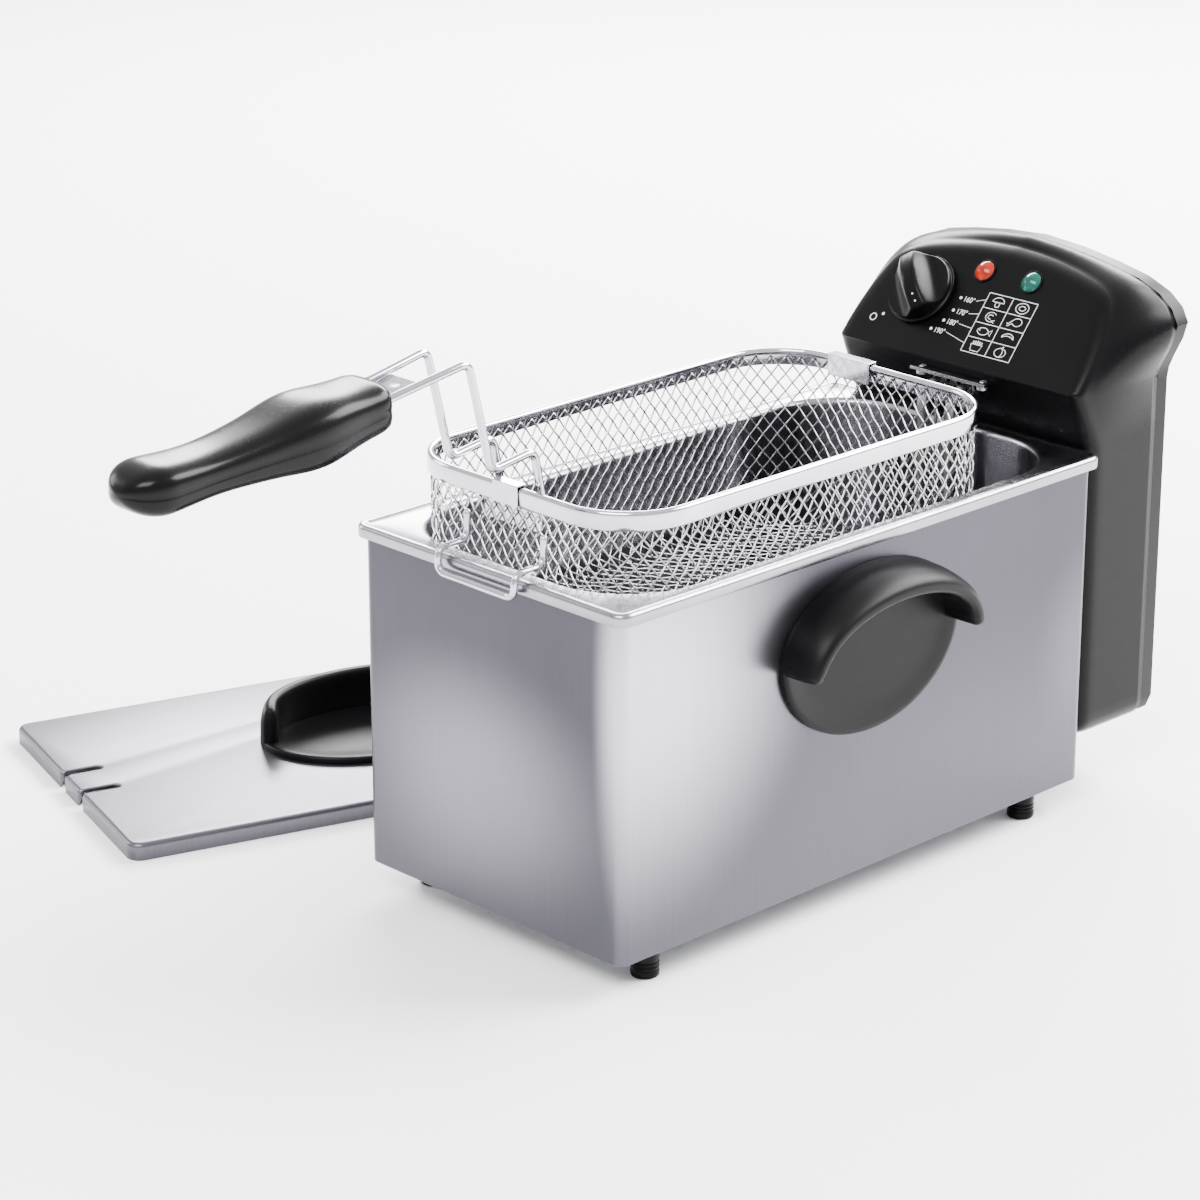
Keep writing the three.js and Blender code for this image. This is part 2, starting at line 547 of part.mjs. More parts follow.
// Knob, its shaft and the thermostat that it turns, square to the sloping panel.
function thermostat() {
  const { x, s, knob, skirt, drum, wing, wingWidth, shaft, bore } = dial;
  const floor = runGap;
  const disc = turned([[0, floor], [knob, floor], [knob, skirt - 1], [knob - 1, skirt], [0, skirt]], 28, x, s);
  const barrel = peg(knob - 2, skirt - 1, drum, x, s, 28);
  const bar = block([x - wingWidth / 2, x + wingWidth / 2], [s - knob, s + knob], [drum - 1, wing]);
  const round = peg(knob - 2, 0, wing + 1, x, s, 28);
  const grip = bar.intersect(round);
  const turn = new THREE.Matrix4().makeTranslation(x, s, 0)
    .multiply(new THREE.Matrix4().makeRotationZ(THREE.MathUtils.degToRad(dial.setTo + 90)))
    .multiply(new THREE.Matrix4().makeTranslation(-x, -s, 0));
  const turnedGrip = solid(geometryOf(grip).applyMatrix4(turn));
  const body = disc.add(barrel).add(turnedGrip).subtract(peg(shaft + gap, -1, bore, x, s));
  piece('thermostat_knob', body, black, panelFrame);
  const { half, halfHigh, deep, behind: space, bush: bushRadius, shaftEnd } = thermostatBox;
  const behind = -column.wall - space;
  const neckTop = -column.wall - gap;
  piece('thermostat_shaft', peg(shaft, behind - shaftEnd, bore - gap, x, s), zinc, panelFrame);
  const box = block([x - half, x + half], [s - halfHigh, s + halfHigh], [behind - deep, behind]);
  const bush = peg(bushRadius, behind - 1, neckTop, x, s);
  const hole = peg(shaft + gap, behind - shaftEnd - gap, neckTop + 1, x, s);
  piece('thermostat_body', box.add(bush).subtract(hole), zinc, panelFrame);
}

function lamps() {
  const low = -column.wall - 2;
  for (const [name, x, material] of [['red', lamp.redX, redLens], ['green', lamp.greenX, greenLens]]) {
    const lens = turned([[0, low], [lamp.stem, low], [lamp.stem, gap], [lamp.lens, gap], [lamp.lens, 1.2],
      [lamp.lens - 1.4, 2.6], [lamp.lens - 3.4, lamp.dome], [0, lamp.dome + 0.3]], 16, x, lamp.s);
    piece(`${name}_lens`, lens, material, panelFrame);
    const bulb = peg(lamp.bulb, low - gap - lamp.bulbLength, low - gap, x, lamp.s, 10);
    piece(`${name}_neon_lamp`, bulb, ivory, panelFrame);
  }
}

// Pieces inside the column: cut-out with its reset button, terminal block, lid-off switch, cord gland.
function electrics() {
  const cutOutBack = seam - reset.behind;
  const cutOutFront = cutOutBack - reset.cutOutDepth;
  const cutOut = extrude(circle(reset.cutOut, reset.x, reset.z), 'y', cutOutFront, cutOutBack, 5);
  piece('thermal_cut_out', cutOut, ivory);
  const stemFrom = cutOutBack + reset.travel + gap;
  const stem = extrude(circle(reset.radius, reset.x, reset.z), 'y', stemFrom, headBack + 1, 5);
  const collar = extrude(circle(reset.radius + reset.collar, reset.x, reset.z), 'y', seam + 4, seam + 5.5, 5);
  const button = stem.add(collar);
  piece('reset_button', button, redLens);
  const { half, front, depth, above, high } = terminals;
  const blockY = columnFront + front;
  const blockLow = columnLow + above;
  piece('terminal_block', block([-half, half], [blockY, blockY + depth], [blockLow, blockLow + high]), ivory);
  const switchLow = guideHigh + runGap + 1;
  const switchY = columnFront + column.wall + gap;
  piece('interlock_switch', block([-lidSwitch.half, lidSwitch.half], [switchY, switchY + lidSwitch.depth],
    [switchLow, switchLow + lidSwitch.high]), ivory);
  const { bore, neck, flange, seat, half: reach } = gland;
  const grommet = turned([[bore, -reach - 2], [neck, -reach - 2], [neck, 0], [flange, 0], [flange, seat],
    [neck, reach], [bore, reach], [bore, -reach - 2]], 14);
  const held = piece('cord_gland', grommet, black);
  held.rotation.x = -Math.PI / 2;
  held.position.set(0, headBack + gap, gland.z);
}

// Heating element: one tube down from the bracket and four legs along the pot floor.
function heater() {
  const { tube, legX, inner, bend } = element;
  const low = elementLow;
  const outer = opening.halfX - element.fromSide;
  const front = opening.front + element.fromFront;
  const rear = opening.rear - element.fromRear;
  const bridge = rear - element.bridge;
  const half = [[legX, inHead, exitZ], [legX, dropY, exitZ], [legX, dropY, low], [legX, rear, low],
    [outer, rear, low], [outer, front, low], [inner, front, low], [inner, bridge, low]];
  const other = half.map(([x, y, z]) => [-x, y, z]).reverse();
  piece('heating_element', wire([...half, ...other], tube, bend, 8, 4), polished);
  const bulb = extrude(circle(sensor.radius, 0, low), 'y', sensor.front, sensor.rear, 5);
  const over = low + sensor.over;
  const climb = sensor.rear + 20;
  const pipePath = [[sensor.rear - 5, low], [climb, low], [climb + sensor.step, over], [dropY, over],
    [dropY, exitZ], [inHead, exitZ]].map(([y, z]) => [0, y, z]);
  const pipe = wire(pipePath, sensor.pipe, sensor.step, 6, 3);
  piece('thermostat_sensor', bulb.add(pipe), polished);
  const { half: reach, sheet, screwX, collar, sleeve: sleeveLength } = bracket;
  const [start, end] = [bracketFront, bracketRear];
  const sleeveFrom = dropY + bend + 1;
  const sleeveTo = sleeveFrom + sleeveLength;
  let plate = block([-reach, reach], [start, end], [bracketZ, bracketZ + sheet]);
  for (const [x, radius] of [[-legX, tube], [legX, tube], [0, sensor.pipe]]) {
    const sleeve = extrude(circle(radius + gap + collar, x, exitZ), 'y', sleeveFrom, sleeveTo, 6)
      .add(block([x - 1.5, x + 1.5], [sleeveFrom, sleeveTo], [exitZ + radius + gap, bracketZ + 1]));
    plate = plate.add(sleeve).subtract(extrude(circle(radius + gap, x, exitZ), 'y', start - 9, end + 9, 6));
  }
  for (const x of [-screwX, screwX]) {
    plate = plate.subtract(peg(foot.bore, bracketZ - 9, bracketZ + 9, x, bracketScrewY, 10));
  }
  piece('element_bracket', plate, polished);
  for (const [side, x] of [['left', -screwX], ['right', screwX]]) {
    const held = piece(`bracket_screw_${side}`, screw(sheet + gap, 3, 3), zinc);
    held.position.set(x, bracketScrewY, bracketZ - gap);
  }
}

// ---------------------------------------------------------------- basket
const basketY = (basketFront + basketRear) / 2;
const basketLength = basketRear - basketFront;
const meshInset = basket.bandSheet + gap;

function basketBand() {
  const { corner, band, bandSheet, bandLip } = basket;
  const top = basketTop;
  const outline = (d) => roundedRectangle(2 * (basketHalf - d), basketLength - 2 * d, corner - d, 0, basketY);
  const hoop = extrude(outline(0), 'z', top - band, top, 4)
    .subtract(extrude(outline(bandSheet), 'z', top - band - 1, top - bandSheet, 4))
    .subtract(extrude(outline(bandLip), 'z', top - band, top + 1, 4));
  piece('basket_rim_band', hoop, polished);
}

function basketMesh() {
  const { corner, bandSheet, wire: thick, depth, fillet } = basket;
  const high = basketTop - bandSheet - gap;
  const floor = basketTop - depth;
  const shell = (d, z, up) => tub(2 * (basketHalf - meshInset - d), basketFront + meshInset + d,
    basketRear - meshInset - d, corner - meshInset - d, z, fillet, up);
  piece('basket_mesh', shell(0, floor, high).subtract(shell(thick, floor + thick, high + 20)), polished);
}

// The folded sheet that covers the joint of the band, on the straight stretch next to the rear left corner.
function jointCover() {
  const { corner, band, bandLip } = basket;
  const { half, sheet } = rearClip;
  const top = basketTop;
  const x = corner - basketHalf + half + gap;
  const [inner, outer] = [basketRear - bandLip - gap, basketRear + gap];
  const fold = block([x - half, x + half], [inner - sheet, outer + sheet], [top - band - 1, top + gap + sheet]);
  const cavity = block([x - half - 1, x + half + 1], [inner, outer], [top - band - 2, top + gap]);
  piece('band_joint_cover', fold.subtract(cavity), polished);
}

// Handle bracket: clipped over the front band, with two ears inside that carry the handle's tips.
function frontBracket() {
  const { band, bandLip } = basket;
  const { half, plate, sheet, ear, eye: reach, plateDrop } = handleBracket;
  const top = basketTop;
  const outerFace = basketFront - gap;
  const innerFace = basketFront + bandLip + gap;
  const hook = block([-half, half], [outerFace - sheet, innerFace + sheet], [top - band, top + gap + sheet])
    .subtract(block([-half - 1, half + 1], [outerFace, innerFace], [top - band - 1, top + gap]));
  const plateLow = top - band - plateDrop;
  const wallPlate = block([-plate, plate], [innerFace, innerFace + sheet], [plateLow, top - band + 4]);
  let body = hook.add(wallPlate);
  for (const side of [-1, 1]) {
    const x = [side * (plate - ear), side * plate].sort((a, b) => a - b);
    body = body.add(block(x, [innerFace, pivotY + reach], [pivotZ - reach, pivotZ + reach]));
  }
  const eye = circle(handleWire.radius + gap, pivotY, pivotZ);
  piece('handle_bracket', body.subtract(extrude(eye, 'x', -far, far, 6)), polished);
}

// Drain hook: a loop in front of the pot rim whose arms pass over it to the basket's front wall.
function hook() {
  const { half, radius, clear, bend } = drainHook;
  const low = rimTop - drainHook.drop;
  const over = rimTop + drainHook.over;
  const front = -rimHalfY - clear - radius;
  const rear = basketFront + meshInset - gap - radius;
  const side = (sign) => [[sign * half, rear, over + drainHook.up], [sign * half, rear, over],
    [sign * half, front, over], [sign * half, front, low]];
  piece('drain_hook', wire([...side(-1), ...side(1).reverse()], radius, bend, 8, 4), polished);
}

// ---------------------------------------------------------------- basket handle
// The wires' bends, as the way from the pivot: up at the rim, out over the rim, and up to the grip's height.
const wireBends = [[-7, 34], [-36, 30], [-50, 88]].map(([y, z]) => [pivotY + y, pivotZ + z]);
const wireTop = { y: wireBends[2][0], z: wireBends[2][1] };
const gripAxis = (t) => new THREE.Vector3(0, gripFront - t * grip.length,
  gripFrontZ + (gripTailZ - gripFrontZ) * Math.sin((t * Math.PI) / 2));

function handleWires() {
  const { half, radius, tip, bend } = handleWire;
  const inGrip = gripAxis(grip.wireEnd);
  for (const [side, sign] of [['left', -1], ['right', 1]]) {
    const x = sign * half;
    const corners = [[sign * tip, pivotY, pivotZ], [x, pivotY, pivotZ], ...wireBends.map(([y, z]) => [x, y, z]),
      [x * 0.72, inGrip.y, inGrip.z + 1]];
    piece(`handle_wire_${side}`, wire(corners, radius, bend, 8, 4), polished);
  }
}

// The grip's section: a superellipse whose half width and height change along the handle.
function gripSection(t, shrink, steps = 20) {
  const centre = gripAxis(t);
  const { halfWidth, halfHeight, waist, thinWaist, roundFrom, square } = grip;
  const past = Math.max((t - roundFrom) / (1 - roundFrom), 0);
  const round = Math.sqrt(Math.max(1 - past ** 2, 0));
  const width = (halfWidth * (1 - waist * Math.sin(Math.PI * Math.min(t, 0.9)))) * round - shrink;
  const height = (halfHeight * (1 - thinWaist * Math.sin(Math.PI * Math.min(t * 1.1, 1)))) * round - shrink;
  return Array.from({ length: steps }, (_, i) => {
    const angle = (2 * Math.PI * (i + 0.5)) / steps;
    const bulge = (v) => Math.sign(v) * Math.abs(v) ** square;
    return new THREE.Vector3(Math.max(width, 0.6) * bulge(Math.cos(angle)), centre.y,
      centre.z + Math.max(height, 0.6) * bulge(Math.sin(angle)));
  });
}

function gripHalves() {
  const stations = [0, 0.06, 0.2, 0.35, 0.5, 0.65, 0.8, 0.86, 0.92, 0.96, 0.985, 1];
  const whole = loft(stations.map((t) => gripSection(t, 0)));
  const hollow = loft([0.05, 0.2, 0.35, 0.5, 0.65, 0.8].map((t) => gripSection(t, grip.wall, 16)));
  const mouth = block([-handleWire.half - 3, handleWire.half + 3], [gripAxis(0.06).y, gripFront + 5],
    [gripFrontZ - 3, gripFrontZ + 6.6]);
  const shell = whole.subtract(hollow).subtract(mouth);
  const joint = [[gripFront + 9, gripFrontZ - 0.6], ...[0.25, 0.5, 0.75, 1].map((t) => {
    const at = gripAxis(t);
    return [at.y, at.z];
  }), [gripFront - grip.length - 9, gripTailZ]];
  const [first, last] = [joint[0][0], joint.at(-1)[0]];
  const above = [...joint, [last, gripFrontZ + 90], [first, gripFrontZ + 90]];
  const below = [...joint.map(([y, z]) => [y, z - gap]), [last, gripTailZ - 90], [first, gripTailZ - 90]];
  const screwAt = gripAxis(grip.screwAt);
  const { boss: bossRadius, bossHalf, bore: boreRadius, recess: recessRadius, seat } = gripScrew;
  const pegAt = (radius, from, to) => peg(radius, from, to, 0, screwAt.y, 10).translate([0, 0, screwAt.z]);
  const boss = pegAt(bossRadius, -bossHalf, bossHalf);
  const bore = pegAt(boreRadius, -30, 4);
  const recess = pegAt(recessRadius, -30, seat);
  const body = shell.add(boss).subtract(bore).subtract(recess);
  piece('grip_upper', body.intersect(extrude(polygon(above), 'x', -60, 60)), glossBlack);
  piece('grip_lower', body.intersect(extrude(polygon(below), 'x', -60, 60)), glossBlack);
  const held = piece('grip_screw', screw(gripScrew.length, shank.head, 2.4), zinc);
  held.position.set(0, screwAt.y, screwAt.z + seat - gap);
}

// The spring plate between the wires that keeps them spread.
function latchPlate() {
  const from = gripAxis(0);
  const slope = Math.atan2(wireTop.z - from.z, wireTop.y - from.y);
  const inner = handleWire.half - handleWire.radius - gap - 1;
  const { from: start, to, half, tongue, tongueFrom, hole } = latch;
  const body = block([-inner, inner], [start, to], [-half, half])
    .add(block([-tongue, tongue], [tongueFrom, start + 2], [-half, half]))
    .subtract(extrude(circle(hole, 0, (start + to) / 2), 'z', -2, 2, 5));
  const held = piece('latch_plate', body, polished);
  held.rotation.x = slope;
  held.position.set(0, from.y, from.z);
}

// ---------------------------------------------------------------- lid
function lidPieces() {
  const group = new THREE.Group();
  group.position.set(lidX, lid.y, 0);
  group.rotation.z = THREE.MathUtils.degToRad(lid.turn);
  fryer.add(group);
  const { corner, height, sheet, slot, slotDepth } = lid;
  const [width, length] = [2 * rimHalfX, 2 * rimHalfY];
  const hollow = roundedRectangle(width - 2 * sheet, length - 2 * sheet, corner - sheet);
  let panel = extrude(roundedRectangle(width, length, corner), 'z', 0, height)
    .subtract(extrude(hollow, 'z', -1, height - sheet));
  for (const x of [-handleWire.half, handleWire.half]) {
    const end = -length / 2 + slotDepth - slot / 2;
    panel = panel.subtract(block([x - slot / 2, x + slot / 2], [-length / 2 - 1, end], [-1, height + 1]));
    panel = panel.subtract(peg(slot / 2, -1, height + 1, x, end));
  }
  for (const y of [-handleScrew.y, handleScrew.y]) {
    panel = panel.subtract(peg(foot.bore, -1, 2 * height, -handleScrew.rise, y));
  }
  piece('lid_panel', panel, steel, group);
  const handle = piece('lid_handle', handleMoulding(), black, group);
  handle.rotation.y = -Math.PI / 2;
  handle.position.z = height + gap;
  for (const [end, y] of [['front', -handleScrew.y], ['rear', handleScrew.y]]) {
    const held = piece(`lid_screw_${end}`, screw(sideHandle.screw), zinc, group);
    held.position.set(-handleScrew.rise, y, height - sheet - gap);
  }
}

housingShell();
baseTray();
feet();
sideHandles();
guideRail();
oilPot();
frontCasing();
backCover();
thermostat();
lamps();
electrics();
heater();
basketBand();
basketMesh();
jointCover();
frontBracket();
hook();
handleWires();
gripHalves();
latchPlate();
lidPieces();

// Origin: the middle of the bounding box, on the table.
const bounds = new THREE.Box3().setFromObject(fryer, true);
const centre = bounds.getCenter(new THREE.Vector3());
fryer.position.set(-centre.x, -centre.y, -bounds.min.z);
fryer.updateMatrixWorld(true);

export default fryer;
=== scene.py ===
import json
import math
import bmesh
import bpy
import numpy as np
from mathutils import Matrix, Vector

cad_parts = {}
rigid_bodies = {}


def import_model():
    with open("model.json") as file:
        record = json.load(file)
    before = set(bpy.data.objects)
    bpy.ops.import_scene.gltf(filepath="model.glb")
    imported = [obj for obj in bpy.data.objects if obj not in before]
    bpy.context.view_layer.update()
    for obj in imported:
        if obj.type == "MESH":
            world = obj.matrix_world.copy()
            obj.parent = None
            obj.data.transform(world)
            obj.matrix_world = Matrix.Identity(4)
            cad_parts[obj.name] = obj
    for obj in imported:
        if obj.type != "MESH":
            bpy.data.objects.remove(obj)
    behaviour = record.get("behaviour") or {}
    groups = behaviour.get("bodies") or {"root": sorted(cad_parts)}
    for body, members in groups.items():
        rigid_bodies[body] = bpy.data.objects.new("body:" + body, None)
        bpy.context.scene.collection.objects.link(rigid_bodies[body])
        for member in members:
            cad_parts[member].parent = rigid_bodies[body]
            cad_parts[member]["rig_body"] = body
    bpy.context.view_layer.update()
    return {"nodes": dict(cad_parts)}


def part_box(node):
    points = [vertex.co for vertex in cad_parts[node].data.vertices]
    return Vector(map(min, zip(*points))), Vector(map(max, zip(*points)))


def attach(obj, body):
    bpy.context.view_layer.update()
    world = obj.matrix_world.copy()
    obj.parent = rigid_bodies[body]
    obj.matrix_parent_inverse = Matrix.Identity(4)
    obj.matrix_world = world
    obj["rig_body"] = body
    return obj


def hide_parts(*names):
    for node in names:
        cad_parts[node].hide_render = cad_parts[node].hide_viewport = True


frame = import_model()
nodes = frame["nodes"]

# Lengths below are millimetres round the middle of the housing, with +y towards the control head.
mm = 0.001
shellLow, shellHigh = (np.array(corner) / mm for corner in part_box("housing_shell"))
middle = np.array([(shellLow[0] + shellHigh[0]) / 2, (shellLow[1] + shellHigh[1]) / 2, 0.0])
gap = 0.3  # between touching pieces


def nodeBox(name):
    # A CAD node's corners in the millimetres used here.
    low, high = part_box(name)
    return np.array(low) / mm - middle, np.array(high) / mm - middle


def nodeBoxHeight(name):
    low, high = nodeBox(name)
    return high[2] - low[2]


def unit(vectors):
    return vectors / np.linalg.norm(vectors, axis=-1, keepdims=True)


def signedPower(value, power):
    # The size raised to a power, with its sign kept: squares off a circle when the power is below 1.
    return np.sign(value) * abs(value) ** power


def wholeTurn(count):
    return np.linspace(0, 2 * np.pi, count, endpoint=False)


def roundedLoop(width, length, radius, centreY=0.0, perCorner=10, support=0.5):
    # A rectangle with round corners, anticlockwise: four quarter circles, and a support point
    # on the straight just before and after each of them.
    radius = max(radius, 0.1)
    signs = np.array([[1, -1], [1, 1], [-1, 1], [-1, -1]], float)
    centres = signs * [width / 2 - radius, length / 2 - radius] + [0, centreY]
    angles = np.radians([-90, 0, 90, 180])[:, None] + np.linspace(0, np.pi / 2, perCorner + 1)
    arcs = centres[:, None] + radius * np.stack([np.cos(angles), np.sin(angles)], -1)
    along = np.stack([-np.sin(angles), np.cos(angles)], -1) * support
    parts = [arcs[:, :1] - along[:, :1], arcs, arcs[:, -1:] + along[:, -1:]]
    return np.concatenate(parts, 1).reshape(-1, 2)


def level(loop, z):
    # A flat outline lifted to height z.
    return np.column_stack([loop, np.full(len(loop), float(z))])


def gridFaces(rows, cols, closeRows=False, closeCols=True):
    # Four-sided faces between neighbouring rows and columns of a grid numbered row by row.
    r = np.arange(rows if closeRows else rows - 1)[:, None]
    c = np.arange(cols if closeCols else cols - 1)[None, :]
    right, above = (c + 1) % cols, (r + 1) % rows
    quads = [r * cols + c, r * cols + right, above * cols + right, above * cols + c]
    return np.stack(np.broadcast_arrays(*quads), -1).reshape(-1, 4)


def skin(rings, loop=False):
    # Rings of points joined one to the next; the ends are closed flat, or joined to each other.
    rings = np.asarray(rings, float)
    rows, cols = rings.shape[:2]
    faces = gridFaces(rows, cols, closeRows=loop).tolist()
    if not loop:
        faces += [list(range(cols))[::-1], list(range((rows - 1) * cols, rows * cols))]
    return rings.reshape(-1, 3), faces


def together(*shapes):
    # Several shapes in one mesh: the faces of each are numbered after the points before it.
    points, faces, start = [], [], 0
    for shapePoints, shapeFaces in shapes:
        points.append(shapePoints)
        faces += [[start + i for i in face] for face in shapeFaces]
        start += len(shapePoints)
    return np.concatenate(points), faces


def bentPath(corners, bend, steps=7):
    # A wire's centre line: straight runs, and at each corner a parabola that touches both runs
    # where an arc of the bend radius would.
    corners = np.array(corners, float)
    t = np.linspace(0, 1, steps + 1)[:, None]
    parts = [corners[:1]]
    for before, at, after in zip(corners[:-2], corners[1:-1], corners[2:]):
        into, out = before - at, after - at
        half = math.acos(np.clip(unit(into) @ unit(out), -1, 1)) / 2
        reach = min(bend / math.tan(half), 0.49 * np.linalg.norm(into), 0.49 * np.linalg.norm(out))
        enter, leave = at + unit(into) * reach, at + unit(out) * reach
        parts.append((1 - t) ** 2 * enter + 2 * t * (1 - t) * at + t * t * leave)
    return np.concatenate([*parts, corners[-1:]])


def tubeRings(paths, radius, sides, lean=(0.62, 0.5, 0.6)):
    # Circles square to each path: the first radius leans on a fixed direction no run is parallel to.
    step = unit(np.gradient(paths, axis=-2))
    side = unit(np.cross(step, np.array(lean)))
    up = np.cross(side, step)
    turn = wholeTurn(sides)[:, None]
    circle = np.cos(turn) * side[..., None, :] + np.sin(turn) * up[..., None, :]
    return paths[..., None, :] + np.asarray(radius)[..., None, None] * circle


def tube(path, radius, sides=12, domed=True):
    # A round bar along a path; a domed end has three more circles, each the cosine of its angle wide.
    reach = np.full(len(path), float(radius))
    if domed:
        angles = np.radians([80, 55, 28])
        starts = path[0] + unit(path[0] - path[1]) * radius * np.sin(angles)[:, None]
        ends = path[-1] + unit(path[-1] - path[-2]) * radius * np.sin(angles[::-1])[:, None]
        path = np.concatenate([starts, path, ends])
        reach = np.concatenate([radius * np.cos(angles), reach, radius * np.cos(angles[::-1])])
    return skin(tubeRings(path, reach, sides))


def turned(profile, sides=32):
    # A profile of (radius, height) spun about the z axis.
    profile = np.array(profile, float)
    turn = wholeTurn(sides)
    radius = np.maximum(profile[:, :1], 0.02)
    rings = np.stack([radius * np.cos(turn), radius * np.sin(turn),
                      np.broadcast_to(profile[:, 1:], (len(profile), sides))], -1)
    return skin(rings)


def softCorners(profile, radius, steps=4):
    # The same profile with each inner corner rounded.
    flat = bentPath(np.column_stack([np.array(profile, float), np.zeros(len(profile))]), radius, steps)
    return flat[:, :2]


def moved(shape, matrix=None, shift=(0, 0, 0)):
    points, faces = shape
    turnedPoints = points if matrix is None else points @ np.array(matrix, float).T
    return turnedPoints + np.array(shift, float), faces


def aboutZ(degrees):
    c, s = math.cos(math.radians(degrees)), math.sin(math.radians(degrees))
    return np.array([[c, -s, 0], [s, c, 0], [0, 0, 1]])


def aboutX(degrees):
    c, s = math.cos(math.radians(degrees)), math.sin(math.radians(degrees))
    return np.array([[1, 0, 0], [0, c, -s], [0, s, c]])


def aboutY(degrees):
    c, s = math.cos(math.radians(degrees)), math.sin(math.radians(degrees))
    return np.array([[c, 0, s], [0, 1, 0], [-s, 0, c]])


def addPiece(name, shape, material, body, replaced=(), sharp=38, closed=True):
    # Puts a shape into a mesh at its place in the frame, turns its faces outwards if it is closed,
    # and ties it to its body.
    points, faces = shape
    mesh = bpy.data.meshes.new(name)
    mesh.from_pydata(((points + middle) * mm).tolist(), [], faces)
    if closed:
        facesOutwards(mesh)
    finishMesh(mesh, sharp)
    return addObject(name, mesh, material, body, replaced)


def facesOutwards(mesh):
    # Every separate shell of the mesh is turned so that its faces point away from its middle.
    mesh.validate()
    work = bmesh.new()
    work.from_mesh(mesh)
    bmesh.ops.recalc_face_normals(work, faces=work.faces)
    work.to_mesh(mesh)
    work.free()


def finishMesh(mesh, sharp):
    mesh.validate()
    mesh.polygons.foreach_set("use_smooth", np.ones(len(mesh.polygons), bool))
    mesh.set_sharp_from_angle(angle=math.radians(sharp))
    mesh.update()


def addObject(name, mesh, material, body, replaced):
    piece = bpy.data.objects.new(name, mesh)
    bpy.context.scene.collection.objects.link(piece)
    mesh.materials.clear()
    mesh.materials.append(material)
    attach(piece, body)
    if replaced:
        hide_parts(*replaced)
    return piece


def softened(nodeName, material, edge=0.5, steps=2):
    # A merged copy of a CAD node with its edges rounded by a bevel.
    mesh = nodes[nodeName].data.copy()
    mesh.name = nodeName + "_soft"
    work = bmesh.new()
    work.from_mesh(mesh)
    bmesh.ops.remove_doubles(work, verts=work.verts, dist=2e-6)
    bmesh.ops.dissolve_limit(work, angle_limit=math.radians(1), verts=work.verts, edges=work.edges)
    work.to_mesh(mesh)
    work.free()
    finishMesh(mesh, 30)
    piece = addObject(nodeName + "_soft", mesh, material, nodes[nodeName]["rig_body"], [nodeName])
    bevel = piece.modifiers.new("edges", "BEVEL")
    bevel.width, bevel.segments = edge * mm, steps
    bevel.limit_method, bevel.angle_limit = "ANGLE", math.radians(35)
    bevel.harden_normals = True
    return piece


